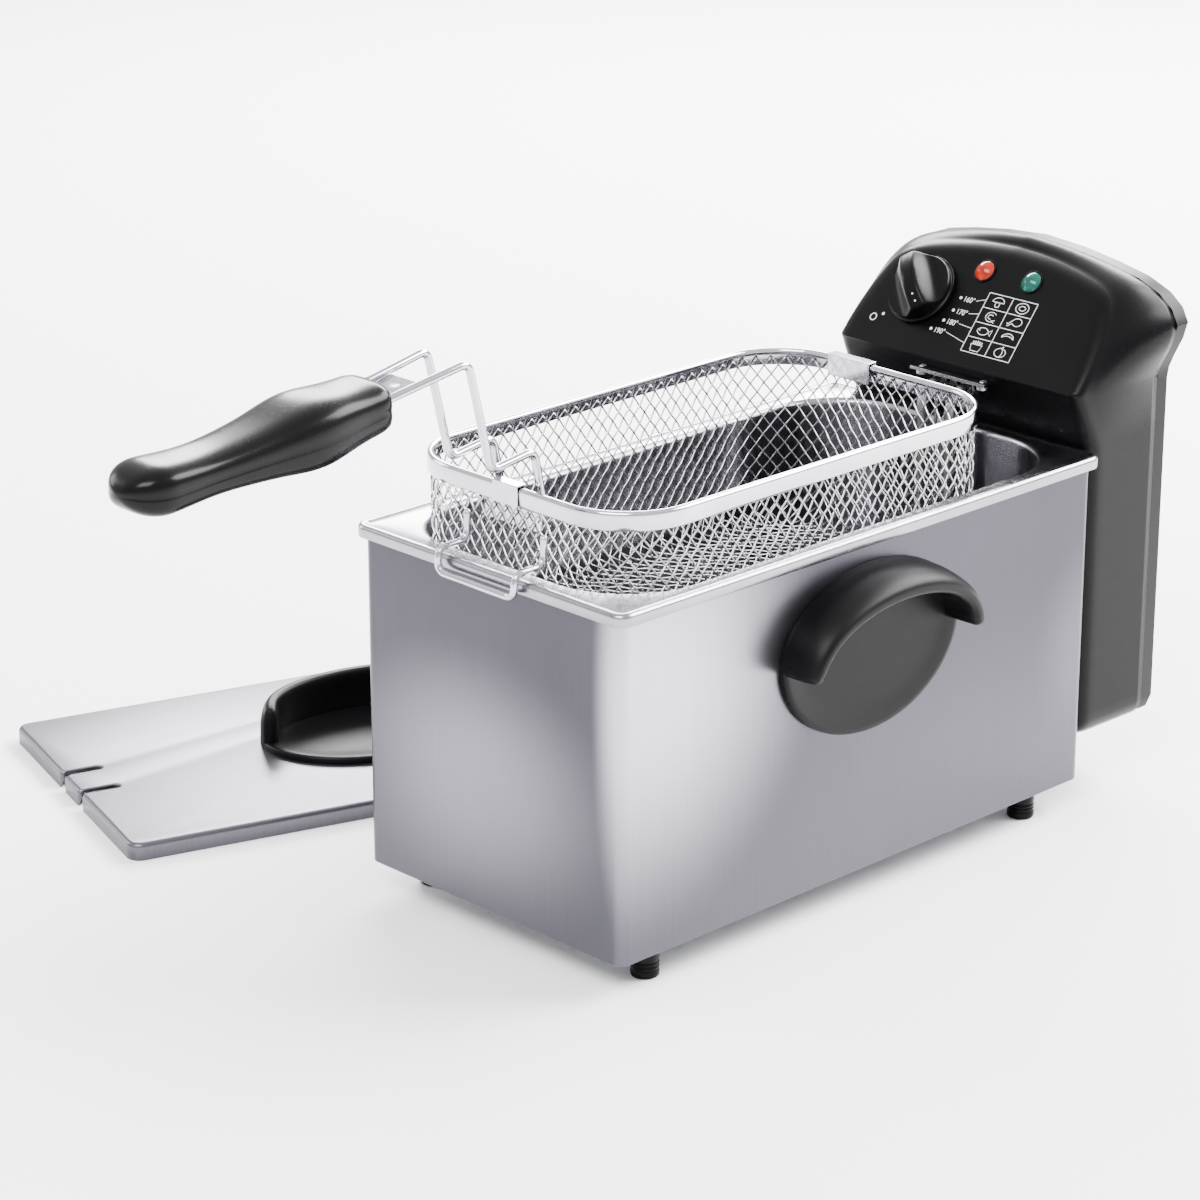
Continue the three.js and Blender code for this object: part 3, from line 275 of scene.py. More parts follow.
def makeMaterial(name, look):
    # One shader: two close colours mixed by a cloudy noise, lightened in soft round areas of painted
    # sheen at set places, fine grain stretched along the brushing, roughness from both, a bump from the
    # grain.
    material = bpy.data.materials.new(name)
    material.use_nodes = True
    tree = material.node_tree
    link = tree.links.new
    shader = tree.nodes["Principled BSDF"]
    for socket, value in look.get("sockets", {}).items():
        shader.inputs[socket].default_value = value
    shader.inputs["Metallic"].default_value = look.get("metallic", 0.0)
    place = tree.nodes.new("ShaderNodeTexCoord")

    def noise(scale, stretch, detail, turn=0.0):
        mapping = tree.nodes.new("ShaderNodeMapping")
        mapping.inputs["Scale"].default_value = stretch
        mapping.inputs["Rotation"].default_value = (0, 0, math.radians(turn))
        texture = tree.nodes.new("ShaderNodeTexNoise")
        texture.inputs["Scale"].default_value = scale
        texture.inputs["Detail"].default_value = detail
        link(place.outputs["Object"], mapping.inputs["Vector"])
        link(mapping.outputs["Vector"], texture.inputs["Vector"])
        return texture.outputs["Fac"]

    def spread(source, low, high, start=0.3, end=0.7):
        ranged = tree.nodes.new("ShaderNodeMapRange")
        ranged.inputs["From Min"].default_value = start
        ranged.inputs["From Max"].default_value = end
        ranged.inputs["To Min"].default_value = low
        ranged.inputs["To Max"].default_value = high
        link(source, ranged.inputs["Value"])
        return ranged.outputs["Result"]

    def blend(kind, factor, first, second):
        mix = tree.nodes.new("ShaderNodeMix")
        mix.data_type, mix.blend_type = "RGBA", kind
        link(factor, mix.inputs["Factor"])
        for socket, value in ((mix.inputs["A"], first), (mix.inputs["B"], second)):
            if isinstance(value, tuple):
                socket.default_value = (*value, 1)
            else:
                link(value, socket)
        return mix.outputs["Result"]

    def paintedSheenPatch(centre, radii, amount):
        # Painted sheen: one at the centre, falling evenly to nothing at the radii.
        mapping = tree.nodes.new("ShaderNodeMapping")
        scale = 1 / (np.array(radii) * mm)
        mapping.inputs["Scale"].default_value = scale.tolist()
        mapping.inputs["Location"].default_value = (-(np.array(centre) + middle) * mm * scale).tolist()
        texture = tree.nodes.new("ShaderNodeTexGradient")
        texture.gradient_type = "SPHERICAL"
        link(place.outputs["Object"], mapping.inputs["Vector"])
        link(mapping.outputs["Vector"], texture.inputs["Vector"])
        soft = spread(texture.outputs["Fac"], 0, amount, 0, 0.9)
        soft.node.interpolation_type = "SMOOTHSTEP"
        return soft

    turn = look.get("turn", 0.0)
    grain = noise(look["grainScale"], look.get("stretch", (1, 1, 1)), look.get("grainDetail", 2), turn)
    cloud = noise(look["cloudScale"], (1, 1, 1), 3, turn)
    colour = blend("MIX", spread(cloud, 0, 1), look["colour"], look["shade"])
    # Painted sheen: each area mixes the colour towards a lighter one where highlights and reflections would
    # fall.
    for centre, radii, amount, sheenTint in look.get("paintedSheen", ()):
        colour = blend("MIX", paintedSheenPatch(centre, radii, amount), colour, sheenTint)
    colour = blend("MULTIPLY", spread(grain, 0, look.get("streak", 0.2)), colour, (0.6, 0.6, 0.62))
    link(colour, shader.inputs["Base Color"])
    smooth, dull = look["roughness"]
    rough = tree.nodes.new("ShaderNodeMath")
    rough.operation = "ADD"
    link(spread(cloud, smooth, (smooth + dull) / 2), rough.inputs[0])
    link(spread(grain, 0, (dull - smooth) / 2), rough.inputs[1])
    link(rough.outputs["Value"], shader.inputs["Roughness"])
    bump = tree.nodes.new("ShaderNodeBump")
    bump.inputs["Strength"].default_value = look.get("bump", 0.2)
    bump.inputs["Distance"].default_value = look.get("bumpDepth", 0.02) * mm
    link(grain, bump.inputs["Height"])
    link(bump.outputs["Normal"], shader.inputs["Normal"])
    return material


housingSteel = makeMaterial("housingSteel", {
    "metallic": 1.0, "colour": (0.058, 0.055, 0.067), "shade": (0.048, 0.046, 0.056),
    "roughness": (0.27, 0.38), "grainScale": 1.0, "stretch": (2600, 2600, 16), "grainDetail": 3,
    "cloudScale": 5, "streak": 0.24, "bump": 0.35,
    # Painted sheen: lighter areas standing in for highlights and reflections on the sides, front and rear,
    # brightest on the right side near the front corner.
    "paintedSheen": [
        ((0, 0, 20), (500, 500, 150), 0.9, (0.10, 0.096, 0.113)),
        ((95, -165, 155), (22, 135, 135), 1.0, (0.46, 0.448, 0.49)),
        ((-10, -179, 85), (115, 30, 85), 0.9, (0.20, 0.192, 0.221)),
        ((-95, 30, 110), (60, 190, 90), 0.8, (0.22, 0.211, 0.24)),
        ((0, 179, 100), (150, 60, 90), 0.8, (0.20, 0.193, 0.22))],
})
lidSteel = makeMaterial("lidSteel", {
    "metallic": 1.0, "colour": (0.095, 0.091, 0.106), "shade": (0.08, 0.077, 0.09),
    "roughness": (0.30, 0.42), "grainScale": 1.0, "stretch": (2600, 14, 60), "turn": 18,
    "grainDetail": 3, "cloudScale": 5, "bump": 0.3,
    # Painted sheen: lighter areas standing in for reflections on the lid's top.
    "paintedSheen": [
        ((-280, -110, 10), (190, 210, 120), 0.8, (0.17, 0.163, 0.187)),
        ((-200, 90, 10), (150, 170, 120), 0.7, (0.19, 0.183, 0.205))],
})
potSteel = makeMaterial("potSteel", {
    "metallic": 1.0, "colour": (0.32, 0.314, 0.345), "shade": (0.25, 0.245, 0.272),
    "roughness": (0.16, 0.30), "grainScale": 1.0, "stretch": (90, 90, 90), "grainDetail": 3,
    "cloudScale": 14, "streak": 0.08, "bump": 0.05,
})
chrome = makeMaterial("chrome", {
    "metallic": 1.0, "colour": (0.56, 0.56, 0.60), "shade": (0.46, 0.46, 0.50),
    "roughness": (0.05, 0.14), "grainScale": 700, "cloudScale": 40, "streak": 0.08, "bump": 0.06,
    "bumpDepth": 0.01,
})
weaveSteel = makeMaterial("weaveSteel", {
    "metallic": 1.0, "colour": (0.52, 0.51, 0.53), "shade": (0.36, 0.35, 0.36),
    "roughness": (0.14, 0.26), "grainScale": 500, "cloudScale": 60, "streak": 0.15, "bump": 0.08,
    "bumpDepth": 0.01,
})
elementSteel = makeMaterial("elementSteel", {
    "metallic": 1.0, "colour": (0.36, 0.34, 0.33), "shade": (0.22, 0.20, 0.20),
    "roughness": (0.24, 0.42), "grainScale": 420, "cloudScale": 25, "streak": 0.25, "bump": 0.12,
})
zincSteel = makeMaterial("zincSteel", {
    "metallic": 1.0, "colour": (0.56, 0.57, 0.60), "shade": (0.44, 0.45, 0.48),
    "roughness": (0.28, 0.46), "grainScale": 260, "cloudScale": 30, "bump": 0.12,
})
blackPlastic = makeMaterial("blackPlastic", {
    "colour": (0.0015, 0.0015, 0.0018), "shade": (0.0024, 0.0024, 0.0028), "roughness": (0.26, 0.36),
    "grainScale": 1500, "grainDetail": 1, "cloudScale": 12, "streak": 0.25, "bumpDepth": 0.03,
    "sockets": {"Specular IOR Level": 0.08},
})
handleBlack = makeMaterial("handleBlack", {
    "colour": (0.0016, 0.0016, 0.0019), "shade": (0.0025, 0.0025, 0.0029), "roughness": (0.34, 0.44),
    "grainScale": 1500, "grainDetail": 1, "cloudScale": 12, "streak": 0.25, "bump": 0.25,
    "bumpDepth": 0.03, "sockets": {"Specular IOR Level": 0.09},
})
glossBlack = makeMaterial("glossBlack", {
    "colour": (0.0012, 0.0012, 0.0014), "shade": (0.0018, 0.0018, 0.0021), "roughness": (0.20, 0.30),
    "grainScale": 900, "cloudScale": 16, "bump": 0.05, "bumpDepth": 0.01,
    "sockets": {"Specular IOR Level": 0.12},
})
ivoryMoulding = makeMaterial("ivoryMoulding", {
    "colour": (0.66, 0.61, 0.49), "shade": (0.60, 0.55, 0.44), "roughness": (0.45, 0.62),
    "grainScale": 900, "cloudScale": 30, "streak": 0.15, "bump": 0.15,
})
redLens = makeMaterial("redLens", {
    "colour": (0.34, 0.012, 0.001), "shade": (0.18, 0.004, 0.001), "roughness": (0.08, 0.16),
    "grainScale": 300, "cloudScale": 160, "streak": 0.3, "bump": 0.05, "bumpDepth": 0.05,
    # Painted glow: a faint emission that deepens the red, not light from the lamp.
    "sockets": {"Specular IOR Level": 0.3, "Emission Color": (0.75, 0.05, 0.003, 1),
                "Emission Strength": 0.16},
})
greenLens = makeMaterial("greenLens", {
    "colour": (0.002, 0.08, 0.06), "shade": (0.001, 0.035, 0.028), "roughness": (0.08, 0.16),
    "grainScale": 300, "cloudScale": 160, "streak": 0.3, "bump": 0.05, "bumpDepth": 0.05,
    # Painted glow: a faint emission that deepens the green, not light from the lamp.
    "sockets": {"Specular IOR Level": 0.3, "Emission Color": (0.0, 0.22, 0.16, 1),
                "Emission Strength": 0.12},
})
redButton = makeMaterial("redButton", {
    "colour": (0.55, 0.03, 0.015), "shade": (0.45, 0.025, 0.012), "roughness": (0.3, 0.42),
    "grainScale": 900, "cloudScale": 60, "streak": 0.15, "bump": 0.12,
})
printWhite = makeMaterial("printWhite", {
    "colour": (0.72, 0.72, 0.72), "shade": (0.60, 0.60, 0.60), "roughness": (0.5, 0.62),
    "grainScale": 1200, "cloudScale": 220, "streak": 0.25, "bump": 0.1, "bumpDepth": 0.01,
})
print("materials ready")


def screwShape(length, shank=1.9, headRadius=3.6, headHeight=2.6, recess=1.3):
    # Seat at z = 0, head below it and shank above. The head's face is a low dome; the cross recess
    # sinks it wherever either distance from the two blades is less than half a blade's width.
    turn = wholeTurn(48)
    shares = [0.02, 0.1, 0.17, 0.23, 0.3, 0.4, 0.5, 0.58, 0.66, 0.74, 0.85, 0.95, 1.0]
    radius = headRadius * np.array(shares)[:, None]
    x, y = radius * np.cos(turn), radius * np.sin(turn)
    dome = -headHeight + 0.9 * (radius / headRadius) ** 2.6
    blade = 0.17 * headRadius
    sunk = (np.minimum(abs(x), abs(y)) < blade) & (radius < 0.62 * headRadius)
    z = dome + np.where(sunk, recess, 0.0)
    rings = [np.stack([x, y, np.broadcast_to(z, x.shape)], -1)]
    body = np.array([[headRadius, -0.15], [headRadius - 0.15, 0], [shank, 0], [shank, length - 1],
                     [shank - 0.7, length]])
    circle = np.stack([np.cos(turn), np.sin(turn)], -1)
    heights = np.broadcast_to(body[:, None, 1:], (len(body), len(turn), 1))
    rings.append(np.concatenate([body[:, None, :1] * circle, heights], -1))
    return skin(np.concatenate(rings))


def addScrew(nodeName, length, matrix=None, **sizes):
    # The seat is found from the node's box: the head is at the end the matrix points away from.
    low, high = nodeBox(nodeName)
    shape = screwShape(length, **sizes)
    if matrix is not None:
        shape = moved(shape, matrix)
    points = shape[0]
    shift = (low + high) / 2 - (points.min(0) + points.max(0)) / 2
    return addPiece(nodeName + "_cross", moved(shape, None, shift), zincSteel, nodes[nodeName]["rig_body"],
                    [nodeName], sharp=32)


housing = {"width": 190.0, "length": 358.0, "bottom": 18.0, "top": 200.0, "corner": 6.0, "sheet": 1.0,
           "footLip": 24.0, "seatLip": 5.2, "fold": 1.2}


def housingWrap():
    # The sheet's closed section, as distance in from the wall and height, carried round the outline.
    h = housing
    sheet, low, high = h["sheet"], h["bottom"], h["top"]
    outside = softCorners([(h["footLip"], low), (0, low), (0, high), (h["seatLip"], high)], h["fold"], 5)
    inside = [(h["seatLip"], high - sheet), (sheet, high - sheet), (sheet, low + sheet),
              (h["footLip"], low + sheet)]
    section = np.concatenate([outside, inside])
    rings = [level(roundedLoop(h["width"] - 2 * d, h["length"] - 2 * d, h["corner"] - d), z)
             for d, z in section]
    addPiece("housingWrap", skin(rings, loop=True), housingSteel, "housing",
             ["housing_shell"])


foot = {"radius": 7.5, "inX": 15.0, "inY": 32.0}


def feet():
    # A turned cup with a rounded tread, three grooves between its grip ribs and a recess for its screw.
    r, top = foot["radius"], housing["bottom"] - gap
    ribs = [(r - 0.5 * (k % 2), 3.4 + 1.1 * k) for k in range(7)]
    profile = [(2.3, 6), (4.1, 6), (4.1, 0.4), (4.5, 0), (r - 1.2, 0), (r - 0.3, 0.5), (r, 1.4), *ribs,
               (r, top - 0.5), (r - 0.5, top), (2.3, top)]
    for end, sy in (("front", -1), ("rear", 1)):
        for side, sx in (("left", -1), ("right", 1)):
            place = (sx * (housing["width"] / 2 - foot["inX"]), sy * (housing["length"] / 2 - foot["inY"]), 0)
            cup = skin(turned(profile, 40)[0].reshape(len(profile), 40, 3), loop=True)
            addPiece(f"footCup_{end}_{side}", moved(cup, None, place), blackPlastic, "housing",
                     [f"foot_{end}_{side}"])
            addScrew(f"foot_screw_{end}_{side}", nodeBoxHeight(f"foot_screw_{end}_{side}") - 2.6)


sideHandle = {"reach": 67.0, "rise": 42.0, "drop": 50.0, "centreZ": 148.0, "plate": 3.5, "depth": 27.0,
              "band": 12.0, "endBand": 10.0, "endDepth": 24.0, "droop": 5.0, "tail": 6.0, "dish": 1.4}


def handleMoulding():
    # Hood: round an ellipse, past its ends by a rounded tail; the section leaves the wall, slopes to a
    # thick drooping nose and comes back under. Plate: half ellipses with a rounded edge and a dish.
    s = sideHandle
    tail = np.radians(s["tail"])
    turn = np.linspace(-tail, np.pi + tail, 97)[:, None]
    past = np.clip(np.maximum(-turn, turn - np.pi) / tail, 0, 1)
    full = np.sqrt(np.clip(1 - past ** 2, 0.0004, 1))
    swell = np.clip(np.sin(turn), 0, 1) ** 0.6
    depth = (s["endDepth"] + (s["depth"] - s["endDepth"]) * swell) * (0.8 + 0.2 * full)
    thick = s["endBand"] + (s["band"] - s["endBand"]) * swell
    around = np.linspace(0, np.pi, 41)[None, :]
    outward = depth * np.sin(around) ** 0.42
    flat = 0.5 - 0.5 * signedPower(np.cos(around), 0.7)
    centre = 0.5 * thick + s["droop"] * swell * (outward / s["depth"]) ** 2
    inward = centre + thick * (flat - 0.5) * full
    y = (s["reach"] - inward) * np.cos(turn)
    z = (s["rise"] - inward) * np.sin(turn)
    hood = skin(np.stack(np.broadcast_arrays(outward, y, z), -1))
    dish = s["plate"] - s["dish"]
    edge = [(0, 0), (0, 2.2), (0.35, 3.0), (1.1, s["plate"]), (3.5, s["plate"]), (9, dish + 0.5),
            (17, dish + 0.15), (28, dish)]
    angle = wholeTurn(96)
    high = np.where(np.sin(angle) > 0, s["rise"], s["drop"])
    rings = [np.stack([np.full(96, x), (s["reach"] - d) * np.cos(angle), (high - d) * np.sin(angle)], -1)
             for d, x in edge]
    return together(hood, skin(rings))


def sideHandles():
    right = moved(handleMoulding(), None, (housing["width"] / 2 + gap, 0, sideHandle["centreZ"]))
    for side, hood in (("right", right), ("left", moved(right, aboutZ(180)))):
        addPiece("sideHandle" + side.title(), hood, handleBlack, "housing",
                 ["side_handle_" + side], sharp=50)
    for side, turn in (("left", -90), ("right", 90)):
        for end in ("front", "rear"):
            addScrew(f"handle_screw_{side}_{end}", 14, aboutY(turn))


housingWrap()
feet()
sideHandles()
softened("base_plate", zincSteel, 0.3)
softened("guide_rail", zincSteel, 0.5)
print("housing ready")

pot = {"rimX": 99.0, "rimY": 183.0, "rimTop": 207.0, "rimLow": 200.3, "outerCorner": 8.0, "sheet": 1.2,
       "roll": 2.4, "halfX": 86.0, "front": -168.0, "rear": 172.0, "corner": 46.0, "floor": 60.0,
       "fillet": 12.0, "step": 0.9, "bend": 3.2}


def oilPot():
    # Rings from the underside of the floor up the outside, under the flange and round its skirt,
    # over the rolled edge, down the step to the opening and along the inside to the floor.
    p = pot
    sheet, top, roll, bend, fillet = p["sheet"], p["rimTop"], p["roll"], p["bend"], p["fillet"]

    def opening(d, z):
        width, length = 2 * (p["halfX"] - d), p["rear"] - p["front"] - 2 * d
        return level(roundedLoop(width, length, p["corner"] - d, (p["front"] + p["rear"]) / 2, 14), z)

    def rim(d, z):
        return level(roundedLoop(2 * (p["rimX"] - d), 2 * (p["rimY"] - d), p["outerCorner"] - d, 0, 14), z)

    quarter = np.linspace(0, np.pi / 2, 7)
    below = [opening(fillet * (1 - np.sin(a)) - sheet, p["floor"] + fillet * (1 - np.cos(a)))
             for a in quarter]
    under = [opening(-sheet, top - 4), opening(-sheet - 1, top - sheet - 1.2),
             rim(sheet + 1.4, top - sheet - 0.4)]
    skirt = [rim(sheet, top - sheet - 1.6), rim(sheet, p["rimLow"] + 0.2), rim(sheet - 0.2, p["rimLow"]),
             rim(0.3, p["rimLow"]), rim(0, p["rimLow"] + 0.4)]
    rolled = [rim(roll * (1 - np.cos(a)), top - roll + roll * np.sin(a)) for a in quarter]
    inner = top - p["step"]
    flange = [rim(roll + 1.2, top), rim(roll + 2.2, top - 0.3 * p["step"]), rim(roll + 3.4, inner)]
    wall = [opening(0, inner - bend - 1), opening(0, p["floor"] + sheet + fillet + 1)]
    within = [opening(fillet * (1 - np.cos(a)), p["floor"] + sheet + fillet * (1 - np.sin(a)))
              for a in quarter]
    fold = [opening(-bend + bend * np.sin(a), inner - bend + bend * np.cos(a)) for a in quarter]
    rings = np.stack(below + under + skirt + rolled + flange + fold + wall + within)
    addPiece("oilPotShell", skin(rings), potSteel, "pot", ["oil_pot"], sharp=50)


oilPot()
print("pot ready")

column = {"front": 184.5, "halfWidth": 88.0, "edge": 10.0, "wall": 2.5, "seam": 240.0}
panel = {"foot": 172.0, "footZ": 239.0, "slope": 50.0}
slope = math.radians(panel["slope"])
# Half outlines from the top middle down: the panel (across, up the slope) and the seam (across, height).
panelHalf = [(0, 73), (20, 72.2), (38, 69.6), (56, 65.8), (68, 61.5), (76, 55), (80, 42), (84, 27),
             (87, 12), (87.6, 0)]
seamHalf = [(0, 299), (28, 297.4), (52, 294), (72, 289.5), (87, 283.5), (96.5, 276), (100.5, 267),
            (98, 257), (92.5, 247), (89, 239)]


def onPanel(points):
    # Points across, up the slope and out of the panel, turned into the fryer's frame.
    x, s, h = np.moveaxis(np.asarray(points, float), -1, 0)
    return np.stack([x, panel["foot"] + s * math.cos(slope) - h * math.sin(slope),
                     panel["footZ"] + s * math.sin(slope) + h * math.cos(slope)], -1)


def eased(points, count):
    # A smooth line through the given points, evenly spaced: averages of neighbouring chords, by
    # repeated corner cutting, then spacing by length.
    line = np.array(points, float)
    for _ in range(3):
        near, far = line[:-1], line[1:]
        cut = np.stack([0.75 * near + 0.25 * far, 0.25 * near + 0.75 * far], 1).reshape(-1, 2)
        line = np.concatenate([line[:1], cut, line[-1:]])
    length = np.concatenate([[0], np.cumsum(np.linalg.norm(np.diff(line, axis=0), axis=1))])
    at = np.linspace(0, length[-1], count)
    return np.column_stack([np.interp(at, length, line[:, k]) for k in range(2)])


casing = {"headRows": 56, "columnRows": 20, "headFillet": 7.0, "columnFillet": 10.0, "swell": 3.0,
          "slotHalf": 6.6, "slotTop": 140.6, "slotIn": 195.0, "foot": 46.0, "neckTop": 237,
          "widenOver": 30, "fadeOver": 25, "domeFrom": 262, "bottomReach": 60}


def headCasing():
    # Each row runs from the seam on the left, round the left edge, straight across the front and
    # back to the seam on the right. Head rows follow the two outlines; column rows are level. The
    # round edge is a parabola between the side and the front, as deep as the fillet.
    c = casing
    edgeFront = eased(panelHalf, c["headRows"])
    edgeSeam = eased(seamHalf, c["headRows"])
    front = onPanel(np.column_stack([edgeFront, np.zeros(c["headRows"])]))
    seam = np.column_stack([edgeSeam[:, 0], np.full(c["headRows"], column["seam"]), edgeSeam[:, 1]])
    along = np.gradient(edgeFront, axis=0)
    inward2d = unit(np.column_stack([along[:, 1], -along[:, 0]]))
    inward2d = inward2d * np.sign(-(inward2d * (edgeFront - [0, 30])).sum(1, keepdims=True))
    fillet = np.full(c["headRows"], c["headFillet"])
    inner = edgeFront + inward2d * fillet[:, None]
    inner[:, 0] = np.maximum(inner[:, 0], 0)
    inner[0, 0] = 0
    innerFront = onPanel(np.column_stack([inner, np.zeros(c["headRows"])]))
    # Neck and column rows: height, front, half width.
    neck = np.array([(c["neckTop"], 172.8, 87.8), (232, 174.6, 88), (224, 177.6, 88), (216, 180.8, 88),
                     (211, 182.9, 88), (206, 184.2, 88), (200, 184.5, 88)], float)
    lows = np.concatenate([np.linspace(190, c["slotTop"], 4),
                           np.linspace(c["slotTop"] - 12, c["foot"], c["columnRows"] - 4)])
    columnLevels = np.column_stack([lows, np.full(len(lows), column["front"]),
                                    np.full(len(lows), column["halfWidth"])])
    straight = np.concatenate([neck, columnLevels])
    n = len(straight)
    frontLow = np.column_stack([straight[:, 2], straight[:, 1], straight[:, 0]])
    seamLow = np.column_stack([np.full(n, column["halfWidth"] + 0.4), np.full(n, column["seam"]),
                               straight[:, 0]])
    below = c["neckTop"] - straight[:, 0]
    widening = np.clip(below / c["widenOver"], 0, 1)
    radiusLow = c["headFillet"] + (c["columnFillet"] - c["headFillet"]) * widening
    innerLow = frontLow - np.column_stack([radiusLow, np.zeros(n), np.zeros(n)])
    front, seam = np.concatenate([front, frontLow]), np.concatenate([seam, seamLow])
    innerFront = np.concatenate([innerFront, innerLow])
    fillet = np.concatenate([fillet, radiusLow])[:, None]
    back = unit(seam - front)
    outer = front + back * fillet
    t = np.linspace(0, 1, 9)[None, :, None]
    rounded = ((1 - t) ** 2 * innerFront[:, None] + 2 * t * (1 - t) * front[:, None]
               + t ** 2 * outer[:, None])
    u = np.linspace(0, 1, 13)[None, 1:, None]
    fading = 1 - np.clip(below / c["fadeOver"], 0, 1)
    bulge = c["swell"] * np.concatenate([np.ones(c["headRows"]), fading])
    rise = np.maximum(front[:, 2] - c["domeFrom"], 0)
    away = unit(np.column_stack([front[:, 0] + 1e-6, np.zeros(len(front)), rise]))
    sideways = outer[:, None] * (1 - u) + seam[:, None] * u
    sideways = sideways + away[:, None] * bulge[:, None, None] * (4 * u * (1 - u))
    right = np.concatenate([rounded, sideways], 1)
    left = right * [-1, 1, 1]
    slotShare = c["slotHalf"] / (column["halfWidth"] - c["columnFillet"])
    share = np.concatenate([np.linspace(-1, -0.14, 11), [-slotShare, 0, slotShare],
                            np.linspace(0.14, 1, 11)])[None, 1:-1, None]
    across = innerFront[:, None] * [0, 1, 1] + innerFront[:, None] * [1, 0, 0] * share
    rows = np.concatenate([left[:, ::-1], across, right], 1)
    # The lower end: three rows round the edge, then the flat bottom gathered towards the seam.
    last = rows[-1]
    bottom = []
    for angle in (30, 60, 90):
        shrink = column["edge"] * (1 - math.cos(math.radians(angle)))
        ring = last.copy()
        ring[:, 0] *= (column["halfWidth"] - shrink) / column["halfWidth"]
        ring[:, 1] = column["seam"] - (column["seam"] - ring[:, 1]) * (1 - shrink / c["bottomReach"])
        ring[:, 2] = last[0, 2] - column["edge"] * math.sin(math.radians(angle))
        bottom.append(ring)
    for part in (0.88, 0.6, 0.3, 0):
        ring = bottom[2].copy()
        ring[:, 1] = column["seam"] - (column["seam"] - ring[:, 1]) * part
        bottom.append(ring)
    rows = np.concatenate([rows, np.stack(bottom)])
    faces = gridFaces(*rows.shape[:2], closeCols=False)
    points = rows.reshape(-1, 3)
    centre = points[faces].mean(1)
    slotted = abs(centre[:, 0]) < c["slotHalf"]
    slotted &= (centre[:, 2] < c["slotTop"]) & (centre[:, 1] < c["slotIn"])
    casingPiece = addPiece("headCasing", (points, faces[~slotted].tolist()), blackPlastic, "control",
                           ["head_front_casing"], sharp=60, closed=False)
    mergeDoubles(casingPiece)
    wall = casingPiece.modifiers.new("wall", "SOLIDIFY")
    wall.thickness, wall.offset = column["wall"] * mm, -1


def mergeDoubles(piece):
    work = bmesh.new()
    work.from_mesh(piece.data)
    bmesh.ops.remove_doubles(work, verts=work.verts, dist=1e-5)
    bmesh.ops.dissolve_degenerate(work, edges=work.edges, dist=1e-6)
    bmesh.ops.recalc_face_normals(work, faces=work.faces)
    top = max(work.faces, key=lambda face: face.calc_center_median().z)
    if top.normal.z < 0:
        bmesh.ops.reverse_faces(work, faces=work.faces)
    work.to_mesh(piece.data)
    work.free()
    finishMesh(piece.data, 60)


headCasing()
softened("head_back_cover", blackPlastic, 0.8, 3)
print("casing ready")

dial = {"x": -44.4, "s": 37.1, "radius": 21.0, "skirt": 3.4, "low": 6.5, "high": 19.0, "ridge": 3.6,
        "ringRadius": 26.8, "setTo": -49.0, "droop": 0.01575, "scoop": 9.0, "mark": (-16.5, -11.5),
        "markWide": 0.9, "markDeep": 0.3, "proud": 0.05}


def dialKnob():
    # Height over the disc: full within the ridge's half width, then falling on a cosine to the
    # scoop's floor. The ridge droops on a parabola to both ends; the ring wall stands on the skirt.
    d = dial
    turn = wholeTurn(120)
    shares = [0.003, 0.08, 0.16, 0.24, 0.32, 0.4, 0.48, 0.56, 0.64, 0.72, 0.79, 0.84, 0.88, 0.915]
    radius = d["radius"] * np.array(shares)[:, None]
    x, y = radius * np.cos(turn), radius * np.sin(turn)
    away = np.clip((abs(x) - d["ridge"]) / d["scoop"], 0, 1)
    fall = 0.5 + 0.5 * np.cos(np.pi * away ** 0.75)
    height = d["low"] + (d["high"] - d["low"]) * fall - d["droop"] * y ** 2 * fall
    top = np.stack([x, y, height], -1)
    rim = height[-1] - 0.6
    skirt = d["skirt"]
    sides = [(width, rim - share * (rim - skirt))
             for share, width in ((0.02, 0.928), (0.1, 0.936), (0.5, 0.94), (0.95, 0.945))]
    sides += [(width, np.full(len(turn), z)) for width, z in (
        (0.955, skirt), (0.985, skirt - 0.1), (1.0, skirt - 0.6), (1.0, 0.9), (0.99, 0.6))]
    walls = [np.stack([d["radius"] * width * np.cos(turn), d["radius"] * width * np.sin(turn), z], -1)
             for width, z in sides]

    def atDial(points):
        # Turned to the marked temperature and put at the dial's place on the panel.
        return skin(onPanel(points @ aboutZ(90 + d["setTo"]).T + [d["x"], d["s"], 0]))

    addPiece("dialKnob", atDial(np.concatenate([top, np.stack(walls)])), blackPlastic, "knob",
             ["thermostat_knob"], sharp=55)
    # The pointer line on the ridge's end.
    along, half, deep = np.array(d["mark"]), d["markWide"] / 2, -d["markDeep"]
    ridgeTop = d["high"] - d["droop"] * along ** 2 + d["proud"]
    pointer = np.stack([np.stack([np.full(2, side), along, ridgeTop + up], -1)
                        for side, up in ((-half, 0), (half, 0), (half, deep), (-half, deep))], 1)
    addPiece("dialPointer", atDial(pointer), printWhite, "knob")


lamp = {"s": 57.5, "redX": -10.9, "greenX": 22.7, "radius": 6.0, "dome": 3.6}


